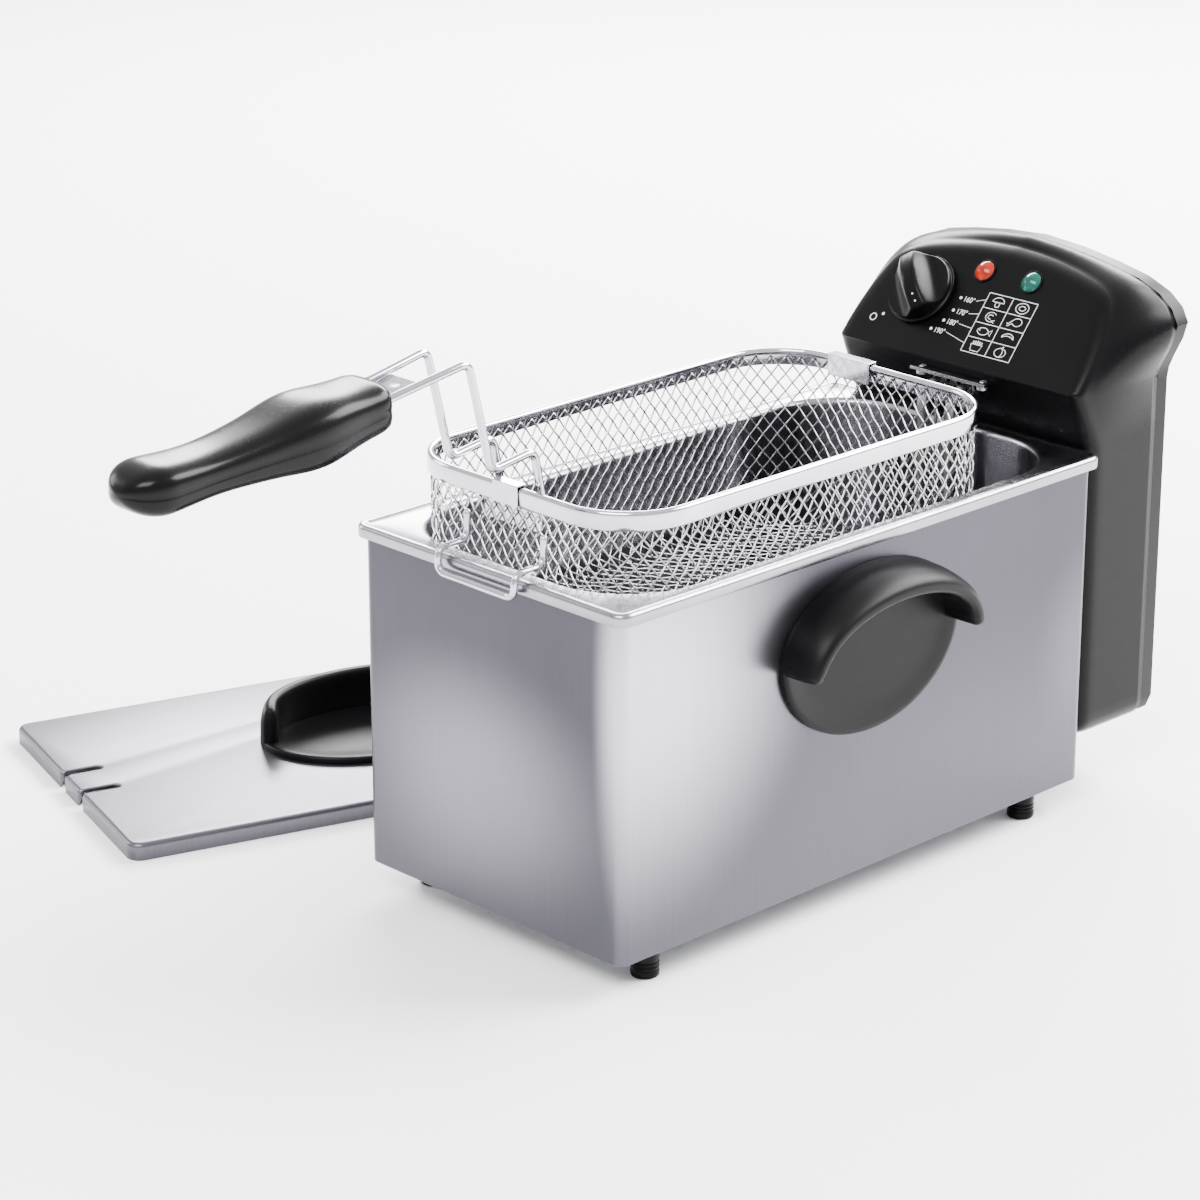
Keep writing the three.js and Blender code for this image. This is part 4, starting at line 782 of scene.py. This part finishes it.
def lamps():
    # A bezel lip and a dome of flat facets, whose corners lie nearer the middle the higher they are.
    for name, x, material in (("red", lamp["redX"], redLens), ("green", lamp["greenX"], greenLens)):
        r = lamp["radius"]
        profile = [(4.0, -4), (4.0, 0.3), (r, 0.3), (r + 0.1, 0.8), (r - 0.3, 1.3)]
        facets = [(r - 1.0, 1.9), (r - 2.4, 2.9), (r - 4.0, lamp["dome"]), (0.1, lamp["dome"] + 0.2)]
        seat = softCorners([(r + 0.1, 0.05), (r + 1.1, 0.05), (r + 1.1, 0.8), (r + 0.1, 0.8)], 0.3)
        shapes = [(onPanel(points + [x, lamp["s"], 0]), faces)
                  for points, faces in (turned(profile + facets, 20), turned(seat, 32))]
        addPiece(f"{name}Lens", shapes[0], material, "control", [f"{name}_lens"], sharp=14)
        addPiece(f"{name}LensSeat", shapes[1], blackPlastic, "control")


ink = {"fine": 0.42, "height": 0.06, "sunk": -0.2, "digit": 4.6, "dot": 0.95, "offAngle": 225,
       "offRing": (-69.0, 15.0, 2.1)}


def inkLine(points, width, closed=False):
    # A printed line: a flat ribbon with square section along a line on the panel.
    line = np.array(points, float)
    step = np.gradient(line, axis=0)
    if closed:
        step = np.roll(line, -1, 0) - np.roll(line, 1, 0)
    side = unit(np.column_stack([-step[:, 1], step[:, 0]])) * width / 2
    top, low = ink["height"], ink["sunk"]
    corners = [(line + side, top), (line - side, top), (line - side, low), (line + side, low)]
    rings = np.stack([np.column_stack([place, np.full(len(line), h)]) for place, h in corners], 1)
    return skin(onPanel(rings), loop=closed)


def inkDisc(x, s, radius, sides=20):
    turn = wholeTurn(sides)
    ring = np.column_stack([x + radius * np.cos(turn), s + radius * np.sin(turn)])
    rings = [np.column_stack([ring, np.full(sides, h)]) for h in (ink["height"], ink["sunk"])]
    return skin(onPanel(np.stack(rings)))


def arc(x, s, rx, rs, start, end, count=17):
    turn = np.radians(np.linspace(start, end, count))
    return np.column_stack([x + rx * np.cos(turn), s + rs * np.sin(turn)])


def curl(points, steps=5):
    # A soft line through the corners of a small drawing.
    flat = np.column_stack([np.array(points, float), np.zeros(len(points))])
    return bentPath(flat, 1.2, steps)[:, :2]


foodTable = {"left": -0.5, "right": 34.0, "low": 9.0, "high": 46.0, "rows": 4}


def foodDrawings():
    # Eight small line drawings of foods for frying, two to a row, each within 14 by 8 mm.
    t = foodTable
    rowHeight = (t["high"] - t["low"]) / t["rows"]
    columnWide = (t["right"] - t["left"]) / 2
    fine = ink["fine"]
    shapes = []

    def at(columnIndex, row):
        return t["left"] + (columnIndex + 0.5) * columnWide, t["high"] - (row + 0.5) * rowHeight

    x, s = at(0, 0)  # mushroom
    shapes += [inkLine(arc(x, s, 4, 3, 0, 180), fine), inkLine([(x - 4, s), (x + 4, s)], fine),
               inkLine(curl([(x - 1.3, s), (x - 1.5, s - 3), (x + 1.5, s - 3), (x + 1.3, s)]), fine)]
    x, s = at(1, 0)  # onion ring
    shapes += [inkLine(arc(x, s, 4.4, 3.2, 0, 345, 28), fine, True),
               inkLine(arc(x, s, 2.2, 1.4, 0, 340, 20), fine, True)]
    x, s = at(0, 1)  # prawn
    shapes += [inkLine(arc(x, s, 3.6, 2.9, 40, 290, 24), fine),
               inkLine(arc(x, s, 1.9, 1.3, 50, 280, 18), fine),
               inkLine([(x + 1, s - 2.4), (x + 3.4, s - 3.2)], fine),
               inkLine([(x + 1, s - 2.2), (x + 3.6, s - 1.6)], fine)]
    x, s = at(1, 1)  # drumstick
    shapes += [inkLine(arc(x + 1.2, s + 0.6, 3.2, 2.4, -150, 150, 24), fine),
               inkLine(curl([(x - 1.6, s + 1.8), (x - 4.6, s - 1.6), (x - 5.2, s - 0.6)]), fine),
               inkLine(curl([(x - 1.6, s - 0.6), (x - 4.2, s - 2.6), (x - 4.9, s - 2.2)]), fine)]
    x, s = at(0, 2)  # fish
    shapes += [inkLine(arc(x - 0.6, s - 1.4, 4.4, 3.6, 25, 155, 17), fine),
               inkLine(arc(x - 0.6, s + 1.4, 4.4, 3.6, -155, -25, 17), fine),
               inkLine([(x + 3.2, s), (x + 5.4, s + 2), (x + 5.2, s - 2), (x + 3.2, s)], fine),
               inkDisc(x - 3, s + 0.3, 0.4)]
    x, s = at(1, 2)  # potato wedge
    shapes += [inkLine(arc(x, s - 2.6, 5, 5, 35, 145, 17), fine),
               inkLine(arc(x, s - 5.4, 6.4, 6.2, 50, 130, 17), fine),
               inkLine([(x - 4.1, s + 0.3), (x - 4.1, s - 0.6)], fine),
               inkLine([(x + 4.1, s + 0.3), (x + 4.1, s - 0.6)], fine)]
    x, s = at(0, 3)  # cup of chips
    cup = [(x - 4, s + 0.8), (x - 2.8, s - 3.2), (x + 2.8, s - 3.2), (x + 4, s + 0.8), (x - 4, s + 0.8)]
    shapes.append(inkLine(cup, fine))
    shapes += [inkLine([(x + k * 1.25, s + 1), (x + k * 1.55, s + 3.2 - 0.3 * abs(k))], 0.7)
               for k in (-2, -1, 0, 1, 2)]
    x, s = at(1, 3)  # pepper
    shapes += [inkLine(arc(x, s - 0.4, 3.8, 2.7, 0, 350, 28), fine, True),
               inkLine([(x, s + 2.2), (x + 0.8, s + 3.6)], 0.6),
               inkLine(arc(x, s - 0.4, 1.4, 2.6, -85, 85, 13), fine)]
    return shapes


def dialPrint():
    # Table of foods, dots round the knob with their temperatures, a ring at off, and leader lines.
    t, d = foodTable, dial
    rowHeight = (t["high"] - t["low"]) / t["rows"]
    centreX = (t["left"] + t["right"]) / 2
    shapes = foodDrawings()
    fine = ink["fine"]
    corners = [(t["left"], t["low"]), (t["right"], t["low"]), (t["right"], t["high"]), (t["left"], t["high"])]
    shapes += [inkLine([corners[k], corners[(k + 1) % 4]], fine) for k in range(4)]
    for height in t["low"] + rowHeight * np.arange(1, t["rows"]):
        shapes.append(inkLine([(t["left"], height), (t["right"], height)], fine))
    shapes.append(inkLine([(centreX, t["low"]), (centreX, t["high"])], fine))
    labels = []

    def onRing(angle):
        turn = math.radians(angle)
        return d["x"] + d["ringRadius"] * math.cos(turn), d["s"] + d["ringRadius"] * math.sin(turn)

    for row, (number, angle) in enumerate((("160", 3.6), ("170", -14.0), ("180", -30.5), ("190", -49.0))):
        x, s = onRing(angle)
        shapes.append(inkDisc(x, s, ink["dot"]))
        middleRow = t["high"] - (row + 0.5) * rowHeight
        labels.append((number + "°", x + 2.2, s - 1.6))
        start = (x + 2.6 + 2.55 * ink["digit"] * 0.72, s + 0.2)
        shapes.append(inkLine([start, (t["left"], middleRow)], 0.3))
    ringX, ringS, ringRadius = ink["offRing"]
    shapes.append(inkDisc(*onRing(ink["offAngle"]), ink["dot"]))
    shapes.append(inkLine(arc(ringX, ringS, ringRadius, ringRadius, 0, 345, 24), 0.6, True))
    addPiece("panelPrint", together(*shapes), printWhite, "control", sharp=60)
    for text, x, s in labels:
        addLabel(text, x, s)


def addLabel(text, x, s):
    # A temperature in the built-in typeface, made a mesh and laid on the panel.
    curve = bpy.data.curves.new("label", "FONT")
    curve.body, curve.size, curve.extrude = text, ink["digit"], 0.1
    holder = bpy.data.objects.new("label", curve)
    bpy.context.scene.collection.objects.link(holder)
    bpy.context.view_layer.update()
    mesh = bpy.data.meshes.new_from_object(holder.evaluated_get(bpy.context.evaluated_depsgraph_get()))
    bpy.data.objects.remove(holder)
    flat = np.empty(len(mesh.vertices) * 3)
    mesh.vertices.foreach_get("co", flat)
    places = flat.reshape(-1, 3) * [0.92, 1, 1] + [x, s, -0.03]
    mesh.vertices.foreach_set("co", ((onPanel(places) + middle) * mm).astype(np.float32).ravel())
    mesh.update()
    addObject("dialLabel" + text[:3], mesh, printWhite, "control", ())


dialKnob()
lamps()
dialPrint()
for name in ("thermostat_shaft", "thermostat_body"):
    softened(name, zincSteel, 0.4)
for name in ("red_neon_lamp", "green_neon_lamp"):
    softened(name, ivoryMoulding, 0.6)
for name in ("thermal_cut_out", "terminal_block", "interlock_switch"):
    softened(name, ivoryMoulding, 0.8)
softened("reset_button", redButton, 0.5)
softened("cord_gland", blackPlastic, 0.6)
for index in (1, 2, 3, 4):
    addScrew(f"cover_screw_{index}", 20, aboutX(90))
print("control head ready")

element = {"tube": 3.25, "legX": 10.0, "exitZ": 227.5, "inHead": 205.0, "dropY": 158.0, "low": 70.0,
           "inner": 22.0, "outer": 62.0, "front": -130.0, "rear": 128.0, "bridge": 100.0, "bend": 13.0}
sensor = {"radius": 3.0, "pipe": 1.1, "over": 16.0, "front": -47.0, "rear": 37.0, "bend": 6.0}


def heater():
    # The tube leaves the head level, drops behind the basket and runs as four legs over the floor.
    e = element
    low = e["low"]
    half = [(e["legX"], e["inHead"], e["exitZ"]), (e["legX"], e["dropY"], e["exitZ"]),
            (e["legX"], e["dropY"], low), (e["legX"], e["rear"], low), (e["outer"], e["rear"], low),
            (e["outer"], e["front"], low), (e["inner"], e["front"], low), (e["inner"], e["bridge"], low)]
    other = [(-x, y, z) for x, y, z in half[::-1]]
    addPiece("heaterTube", tube(bentPath(half + other, e["bend"], 8), e["tube"], 16), elementSteel, "control",
             ["heating_element"])
    above = low + sensor["over"]
    pipe = bentPath([(0, sensor["rear"] - 2, low), (0, 60, low), (0, 66, above), (0, e["dropY"], above),
                     (0, e["dropY"], e["exitZ"]), (0, e["inHead"], e["exitZ"])], sensor["bend"])
    bulb = tube(np.array([(0, y, low) for y in (sensor["front"], -20, 10, sensor["rear"])], float),
                sensor["radius"], 16)
    addPiece("sensorPipe", together(bulb, tube(pipe, sensor["pipe"], 8)), elementSteel, "control",
             ["thermostat_sensor"])


heater()
softened("element_bracket", potSteel, 0.5)
for side in ("left", "right"):
    name = f"bracket_screw_{side}"
    addScrew(name, nodeBoxHeight(name) - 3, headRadius=3.0, headHeight=3.0)
print("heater ready")

basket = {"width": 170.0, "front": -166.0, "rear": 120.5, "corner": 42.0, "top": 247.0, "band": 10.0,
          "sheet": 1.2, "lip": 4.0, "depth": 100.0, "fillet": 10.0, "floorLift": 0.8}
basketMiddle = (basket["front"] + basket["rear"]) / 2
basketLength = basket["rear"] - basket["front"]


def basketLoop(d, perCorner=16):
    return roundedLoop(basket["width"] - 2 * d, basketLength - 2 * d, basket["corner"] - d, basketMiddle,
                       perCorner, 0.6)


def rimBand():
    # Flat band with its top rolled over: the section goes up the outside, round the bead and back.
    b = basket
    low, bead = b["top"] - b["band"], b["lip"] / 2
    turn = np.linspace(np.pi, -0.35 * np.pi, 12)
    over = np.column_stack([bead + bead * np.cos(turn), b["top"] - bead + bead * np.sin(turn)])
    back, inside, thin = turn[::-1], bead - 0.8, b["sheet"] - 0.2
    under = np.column_stack([bead + inside * np.cos(back), b["top"] - bead + inside * np.sin(back)])
    section = [(0.25, low), (0, low + 0.35), *over, *under, (thin, b["top"] - bead - 1), (thin, low)]
    rings = [level(basketLoop(d), z) for d, z in section]
    addPiece("rimBand", skin(rings, loop=True), chrome, "basket", ["basket_rim_band"],
             sharp=50)


weave = {"cellWide": 8.0, "cellHigh": 10.0, "radius": 0.48, "crimp": 0.42, "inset": 2.3, "sides": 6,
         "perCell": 4, "underBand": 3.2}


def wallPoint(s, v, out):
    # The basket's wall unrolled: s runs round the outline, v up from the floor over the fillet's
    # quarter circle and then straight; out is the distance off the wire's middle surface.
    loop = basketLoop(weave["inset"], 24)
    closed = np.concatenate([loop, loop[:1]])
    length = np.concatenate([[0], np.cumsum(np.linalg.norm(np.diff(closed, axis=0), axis=1))])
    s = np.mod(s, length[-1])
    normal = np.gradient(closed, length, axis=0)
    normal[0] = normal[-1] = (normal[0] + normal[-1]) / 2
    x, y, tx, ty = (np.interp(s, length, values) for values in (*closed.T, *normal.T))
    size = np.hypot(tx, ty)
    nx, ny = ty / size, -tx / size
    fillet = basket["fillet"]
    quarter = fillet * np.pi / 2
    angle = np.clip(v / quarter, 0, 1) * np.pi / 2
    inward = fillet * (1 - np.sin(angle)) - out * np.sin(angle)
    floor = basket["top"] - basket["depth"] + basket["floorLift"]
    z = floor + fillet * (1 - np.cos(angle)) - out * np.cos(angle) + np.maximum(v - quarter, 0)
    return np.stack([x - nx * inward, y - ny * inward, z], -1), length[-1]


def manyTubes(paths, radius, sides, keep=None):
    # The same round bar along many paths at once. Where keep is given, only the stations marked
    # in it are skinned, and each bar is closed at its first and last one.
    count, stations = paths.shape[:2]
    rings = tubeRings(paths, np.full((count, stations), radius), sides)
    keep = np.ones((count, stations), bool) if keep is None else keep
    base = gridFaces(stations, sides).reshape(stations - 1, sides, 4)
    both = keep[:, :-1] & keep[:, 1:]
    quads = (base[None] + (np.arange(count) * stations * sides)[:, None, None, None])[both].reshape(-1, 4)
    skinned = both.any(1)
    first = np.argmax(keep, 1)
    last = stations - 1 - np.argmax(keep[:, ::-1], 1)
    ring = np.arange(sides)
    starts = (np.arange(count) * stations + first)[skinned, None] * sides + ring[::-1]
    ends = (np.arange(count) * stations + last)[skinned, None] * sides + ring
    everyIndex = np.concatenate([quads.ravel(), starts.ravel(), ends.ravel()])
    usedPoints, order = np.unique(everyIndex, return_inverse=True)
    split = [quads.size, quads.size + starts.size]
    parts = [part.reshape(-1, size) for part, size in zip(np.split(order, split), (4, sides, sides))]
    return rings.reshape(-1, 3)[usedPoints], sum((part.tolist() for part in parts), [])


def basketWeave():
    # Two families of crimped wires: round the wall they climb one cell's height for each cell's
    # width, one way and the other; over the floor they cross as the two diagonals of the cells.
    # Each wire steps out and in by the crimp on a cosine, so that it passes over and under.
    w = weave
    _, around = wallPoint(np.zeros(1), np.zeros(1), 0.0)
    count = int(round(around / w["cellWide"]))
    wide = around / count
    straight = basket["depth"] - basket["floorLift"] - basket["fillet"] - w["underBand"]
    tall = straight + basket["fillet"] * np.pi / 2
    v = np.arange(0, tall, w["cellHigh"] / w["perCell"])[None, :]
    start = (np.arange(count) * wide)[:, None]
    for name, way in (("weaveWallLeft", -1), ("weaveWallRight", 1)):
        out = way * w["crimp"] * np.cos(2 * np.pi * v / w["cellHigh"])
        s = start + way * v * wide / w["cellHigh"]
        points, _ = wallPoint(s, np.broadcast_to(v, s.shape), out)
        replaced = ["basket_mesh"] if way < 0 else []
        addPiece(name, manyTubes(points, w["radius"], w["sides"]), weaveSteel, "basket",
                 replaced, sharp=180)
    inset = w["inset"] + basket["fillet"] - 1.2
    halfX, halfY = basket["width"] / 2 - inset, basketLength / 2 - inset
    corner = basket["corner"] - inset
    high, wideFloor = w["cellHigh"], w["cellWide"]
    reach = int(halfX / high + halfY / wideFloor) + 2
    fixed = np.arange(-reach, reach + 1)[:, None]
    running = np.arange(-reach, reach + 0.01, 0.5)[None, :]
    floorZ = basket["top"] - basket["depth"] + basket["floorLift"]
    shapes = []
    for way in (-1, 1):
        x = (fixed + running) / 2 * high
        y = way * (running - fixed) / 2 * wideFloor
        x, y = np.broadcast_arrays(x, y)
        z = floorZ + way * w["crimp"] * np.cos(np.pi * (fixed + running))
        pastX, pastY = np.maximum(abs(x) - (halfX - corner), 0), np.maximum(abs(y) - (halfY - corner), 0)
        keep = np.hypot(pastX, pastY) <= corner
        shapes.append(manyTubes(np.stack([x, y + basketMiddle, z], -1), w["radius"], w["sides"], keep))
    addPiece("weaveFloor", together(*shapes), weaveSteel, "basket", sharp=180)


rimBand()
basketWeave()
softened("band_joint_cover", chrome, 0.45, 3)
softened("handle_bracket", chrome, 0.4, 2)
drainHook = {"half": 28.0, "radius": 2.0, "low": 199.0, "over": 211.5, "front": -187.0, "rear": -166.8,
             "up": 14.0, "bend": 7.0}


def hook():
    h = drainHook
    # Up from the band at one side, forward over the pot's rim, down, across, and back the same way.
    side = [(-h["half"], h["rear"], h["over"] + h["up"]), (-h["half"], h["rear"], h["over"]),
            (-h["half"], h["front"], h["over"]), (-h["half"], h["front"], h["low"])]
    path = bentPath(side + [(-x, y, z) for x, y, z in side[::-1]], h["bend"])
    addPiece("drainLoop", tube(path, h["radius"], 14), chrome, "basket", ["drain_hook"])


hook()
print("basket ready")

handleWire = {"half": 15.0, "radius": 2.2, "pivotY": -154.0, "pivotZ": 233.0, "tip": 22.5, "bend": 6.0,
              "knees": [(-161, 267), (-190, 263), (-204, 321)], "closer": 0.72}
grip = {"front": -256.0, "length": 150.0, "halfWidth": 19.5, "halfHeight": 12.5, "frontZ": 309.0,
        "tailZ": 297.0, "wall": 2.5, "groove": 0.35, "swell": 0.3, "waist": 0.16, "square": 0.6,
        "swellAt": (0.27, 0.15), "waistAt": (0.68, 0.17), "roundFrom": 0.86, "wireEnd": 0.27}


def gripAxis(t):
    t = np.asarray(t, float)
    z = grip["frontZ"] + (grip["tailZ"] - grip["frontZ"]) * np.sin(t * np.pi / 2)
    return np.stack([np.zeros_like(t), grip["front"] - t * grip["length"], z], -1)


def handleWires():
    w = handleWire
    end = gripAxis(grip["wireEnd"])
    for side, sign in (("left", -1), ("right", 1)):
        x = sign * w["half"]
        corners = [(sign * w["tip"], w["pivotY"], w["pivotZ"]), (x, w["pivotY"], w["pivotZ"]),
                   *((x, y, z) for y, z in w["knees"]), (x * w["closer"], end[1], end[2] + 1)]
        addPiece(f"handleRod_{side}", tube(bentPath(corners, w["bend"]), w["radius"], 16), chrome,
                 "basket_handle", [f"handle_wire_{side}"])


def gripShell():
    # Superellipse rings along the axis. Half width and half height swell and narrow on two bell
    # curves and close at the tail on a quarter circle; a fine groove follows the joint of the halves.
    g = grip
    cut = g["roundFrom"]
    tail = cut + (1 - cut) * np.sin(np.linspace(0, np.pi / 2, 16))[1:]
    t = np.concatenate([np.linspace(0, cut, 44), tail])
    tailRound = np.where(t > cut, np.sqrt(np.clip(1 - ((t - cut) / (1 - cut)) ** 2, 0, 1)), 1)
    nose = 1 - 0.05 * np.exp(-t / 0.012)

    def bell(size, place, spread):
        return size * np.exp(-((t - place) / spread) ** 2)

    swell = bell(g["swell"], *g["swellAt"]) - bell(g["waist"], *g["waistAt"])
    wide = g["halfWidth"] * (1 + 0.6 * swell) * tailRound * nose
    tall = g["halfHeight"] * (1 + swell) * tailRound * nose
    near = np.array([-0.09, -0.045, -0.03, 0, 0.03, 0.045, 0.09])
    between = np.linspace(0.2, np.pi - 0.2, 27)
    angle = np.sort(np.concatenate([near, near + np.pi, between, between + np.pi]))
    sunk = g["groove"] * np.exp(-(np.sin(angle) / 0.03) ** 2) * np.clip(tailRound * 4, 0, 1)[:, None]
    axis = gripAxis(t)

    def rings(shrink, rows=slice(None)):
        x = np.maximum(wide[rows, None] - shrink, 0.3) * signedPower(np.cos(angle), g["square"])
        z = np.maximum(tall[rows, None] - shrink, 0.2) * signedPower(np.sin(angle), g["square"])
        flat = np.maximum(abs(x) - sunk[rows], 0) * np.sign(x)
        return np.stack([flat, np.broadcast_to(axis[rows, None, 1], x.shape), z + axis[rows, None, 2]], -1)

    outside = rings(0)
    mouth = rings(g["wall"], slice(0, 6))[::-1]
    lip = rings(g["wall"] * 0.5, slice(0, 1)) + [0, 0.7, 0]
    addPiece("gripShell", skin(np.concatenate([mouth, lip, outside])), glossBlack, "basket_handle",
             ["grip_upper", "grip_lower"], sharp=60)


handleWires()
gripShell()
softened("latch_plate", chrome, 0.25)
addScrew("grip_screw", 9, headHeight=2.4)
print("basket handle ready")

lid = {"width": 198.0, "length": 366.0, "corner": 8.0, "height": 10.0, "sheet": 1.2, "slot": 6.0,
       "slotDepth": 24.0, "slotX": 15.0, "slotSkirt": 2.6, "slotEdge": 1.0, "edge": 2.6,
       "x": -249.6, "y": -43.4, "turn": -18.0}


def lidShape():
    # One outline with the two slots as notches, stepped inwards along its own corners' bisectors:
    # over the rounded edge to the flat top, and back below it for the sheet's inner face. The
    # skirt is full height outside and only a short turned edge inside the slots.
    d = lid
    loop = roundedLoop(d["width"], d["length"], d["corner"], 0, 8, 0.8)
    front = -d["length"] / 2
    half, deep = d["slot"] / 2, front + d["slotDepth"] - d["slot"] / 2
    turn = np.radians(np.linspace(180, 0, 13))

    def notch(x):
        arcPart = np.column_stack([x + half * np.cos(turn), deep + half * np.sin(turn)])
        mouthLeft = [(x - half - 2.4, front), (x - half - 0.8, front + 0.25), (x - half, front + 1.6),
                     (x - half, front + 4)]
        return np.concatenate([mouthLeft, [(x - half, deep - 1)], arcPart, [(x + half, deep - 1)],
                               [(2 * x - a, b) for a, b in mouthLeft[::-1]]])

    notches = [notch(-d["slotX"]), notch(d["slotX"])]
    outline = np.concatenate([loop, *notches])
    inside = [np.clip((part[:, 1] - front - 0.2) / 3, 0, 1) for part in notches]
    inSlot = np.concatenate([np.zeros(len(loop)), *inside])
    before, after = np.roll(outline, 1, 0), np.roll(outline, -1, 0)
    normalA = unit((outline - before)[:, ::-1] * [-1, 1])
    normalB = unit((after - outline)[:, ::-1] * [-1, 1])
    total = normalA + normalB
    inward = 2 * total / (total ** 2).sum(1, keepdims=True)
    depth = d["height"] + (d["slotSkirt"] - d["height"]) * inSlot
    edge = d["edge"] + (d["slotEdge"] - d["edge"]) * inSlot

    def ring(share, drop, extra=0.0):
        place = outline + inward * (edge * share + extra)[:, None]
        return np.column_stack([place, d["height"] - drop])

    quarter = np.linspace(0, np.pi / 2, 7)
    sheet = d["sheet"]
    outer = [ring(0 * edge, depth - 0.3), ring(0 * edge, edge + 0.3)]
    outer += [ring(1 - np.cos(a), edge * (1 - np.sin(a))) for a in quarter]
    fold = np.maximum(edge - sheet, 0.2)
    inner = [ring(1 - np.cos(a), sheet + fold * (1 - np.sin(a)), sheet * np.cos(a)) for a in quarter[::-1]]
    inner += [ring(0 * edge, depth - 0.3, sheet), ring(0 * edge, depth, sheet - 0.3),
              ring(0 * edge, depth, 0.3)]
    rows = np.stack(outer + inner)
    count, around = rows.shape[:2]
    faces = gridFaces(count, around, closeRows=True).reshape(count, around, 4)
    topRow, underRow = len(outer) - 1, len(outer)
    keep = np.arange(count) != topRow  # the flat top and its underside are closed by the outline itself
    top = list(range(topRow * around, (topRow + 1) * around))
    under = list(range(underRow * around, (underRow + 1) * around))[::-1]
    return rows.reshape(-1, 3), faces[keep].reshape(-1, 4).tolist() + [top, under]


def placedOnTable(shape):
    return moved(moved(shape, aboutZ(lid["turn"])), None, (lid["x"], lid["y"], 0))


addPiece("lidSheet", placedOnTable(lidShape()), lidSteel, "lid", ["lid_panel"], sharp=45)
lidHood = moved(moved(handleMoulding(), aboutY(-90)), None, (0, 0, lid["height"] + gap))
addPiece("lidHood", placedOnTable(lidHood), handleBlack, "lid", ["lid_handle"], sharp=50)
for end in ("front", "rear"):
    addScrew(f"lid_screw_{end}", 14)
print("lid ready")

view = {"place": (1366.0, -1428.0, 863.0), "azimuth": 45.83, "elevation": 20.01, "lens": 118.3}
# Each light: its place, its target, its size (all in metres) and its power.
studioLook = {"world": 1.8, "floor": 9.0, "paper": (0.92, 0.92, 0.925, 1), "lights": [
    ("keyLight", (0.9, -2.1, 2.6), (0, 0, 0.0), (1.9, 1.3), 165),
    ("leftLight", (-2.6, -1.0, 1.2), (0, 0, 0.1), (1.2, 1.2), 45),
    ("sweepLight", (-1.5, 1.8, 1.35), (0, 0, 0.12), (2.0, 0.7), 190),
    ("backLight", (0.95, 2.2, 2.0), (0, 0.1, 0.2), (2.7, 1.5), 460),
]}


def areaLight(name, place, target, size, power):
    # A rectangular softbox at a place, facing its target; both in metres from the fryer's middle.
    light = bpy.data.lights.new(name, "AREA")
    light.shape, light.size, light.size_y = "RECTANGLE", size[0], size[1]
    light.energy = power
    holder = bpy.data.objects.new(name, light)
    bpy.context.scene.collection.objects.link(holder)
    start, end = Vector(place), Vector(target)
    holder.location = start + Vector(middle * mm)
    holder.rotation_euler = (start - end).to_track_quat("Z", "Y").to_euler()


def studio():
    mesh = bpy.data.meshes.new("floor")
    reach = studioLook["floor"]
    corners = [(-reach, -reach, 0), (reach, -reach, 0), (reach, reach, 0), (-reach, reach, 0)]
    mesh.from_pydata(corners, [], [(0, 1, 2, 3)])
    floor = bpy.data.objects.new("floor", mesh)
    bpy.context.scene.collection.objects.link(floor)
    paper = bpy.data.materials.new("palePaper")
    paper.use_nodes = True
    shader = paper.node_tree.nodes["Principled BSDF"]
    shader.inputs["Base Color"].default_value = studioLook["paper"]
    shader.inputs["Roughness"].default_value = 0.85
    shader.inputs["Specular IOR Level"].default_value = 0.1
    mesh.materials.append(paper)
    world = bpy.data.worlds.new("studioWorld")
    bpy.context.scene.world = world
    world.use_nodes = True
    tree = world.node_tree
    place = tree.nodes.new("ShaderNodeTexCoord")
    split = tree.nodes.new("ShaderNodeSeparateXYZ")
    ramp = tree.nodes.new("ShaderNodeValToRGB")
    tree.links.new(place.outputs["Generated"], split.inputs["Vector"])
    tree.links.new(split.outputs["Z"], ramp.inputs["Fac"])
    tree.links.new(ramp.outputs["Color"], tree.nodes["Background"].inputs["Color"])
    stops = ramp.color_ramp.elements
    stops[0].position, stops[0].color = 0.0, (0.95, 0.95, 0.96, 1)
    stops[1].position, stops[1].color = 0.75, (1.0, 1.0, 1.0, 1)
    stops.new(0.3).color = (0.70, 0.71, 0.74, 1)
    tree.nodes["Background"].inputs["Strength"].default_value = studioLook["world"]
    for name, place, target, size, power in studioLook["lights"]:
        areaLight(name, place, target, size, power)


def cameraSetUp():
    camera = bpy.data.cameras.new("camera")
    camera.lens, camera.sensor_width = view["lens"], 36
    camera.clip_end = 50
    holder = bpy.data.objects.new("camera", camera)
    bpy.context.scene.collection.objects.link(holder)
    holder.location = ((np.array(view["place"]) + middle) * mm).tolist()
    holder.rotation_euler = (math.radians(90 - view["elevation"]), 0, math.radians(view["azimuth"]))
    bpy.context.scene.camera = holder


studio()
cameraSetUp()
print("studio ready")
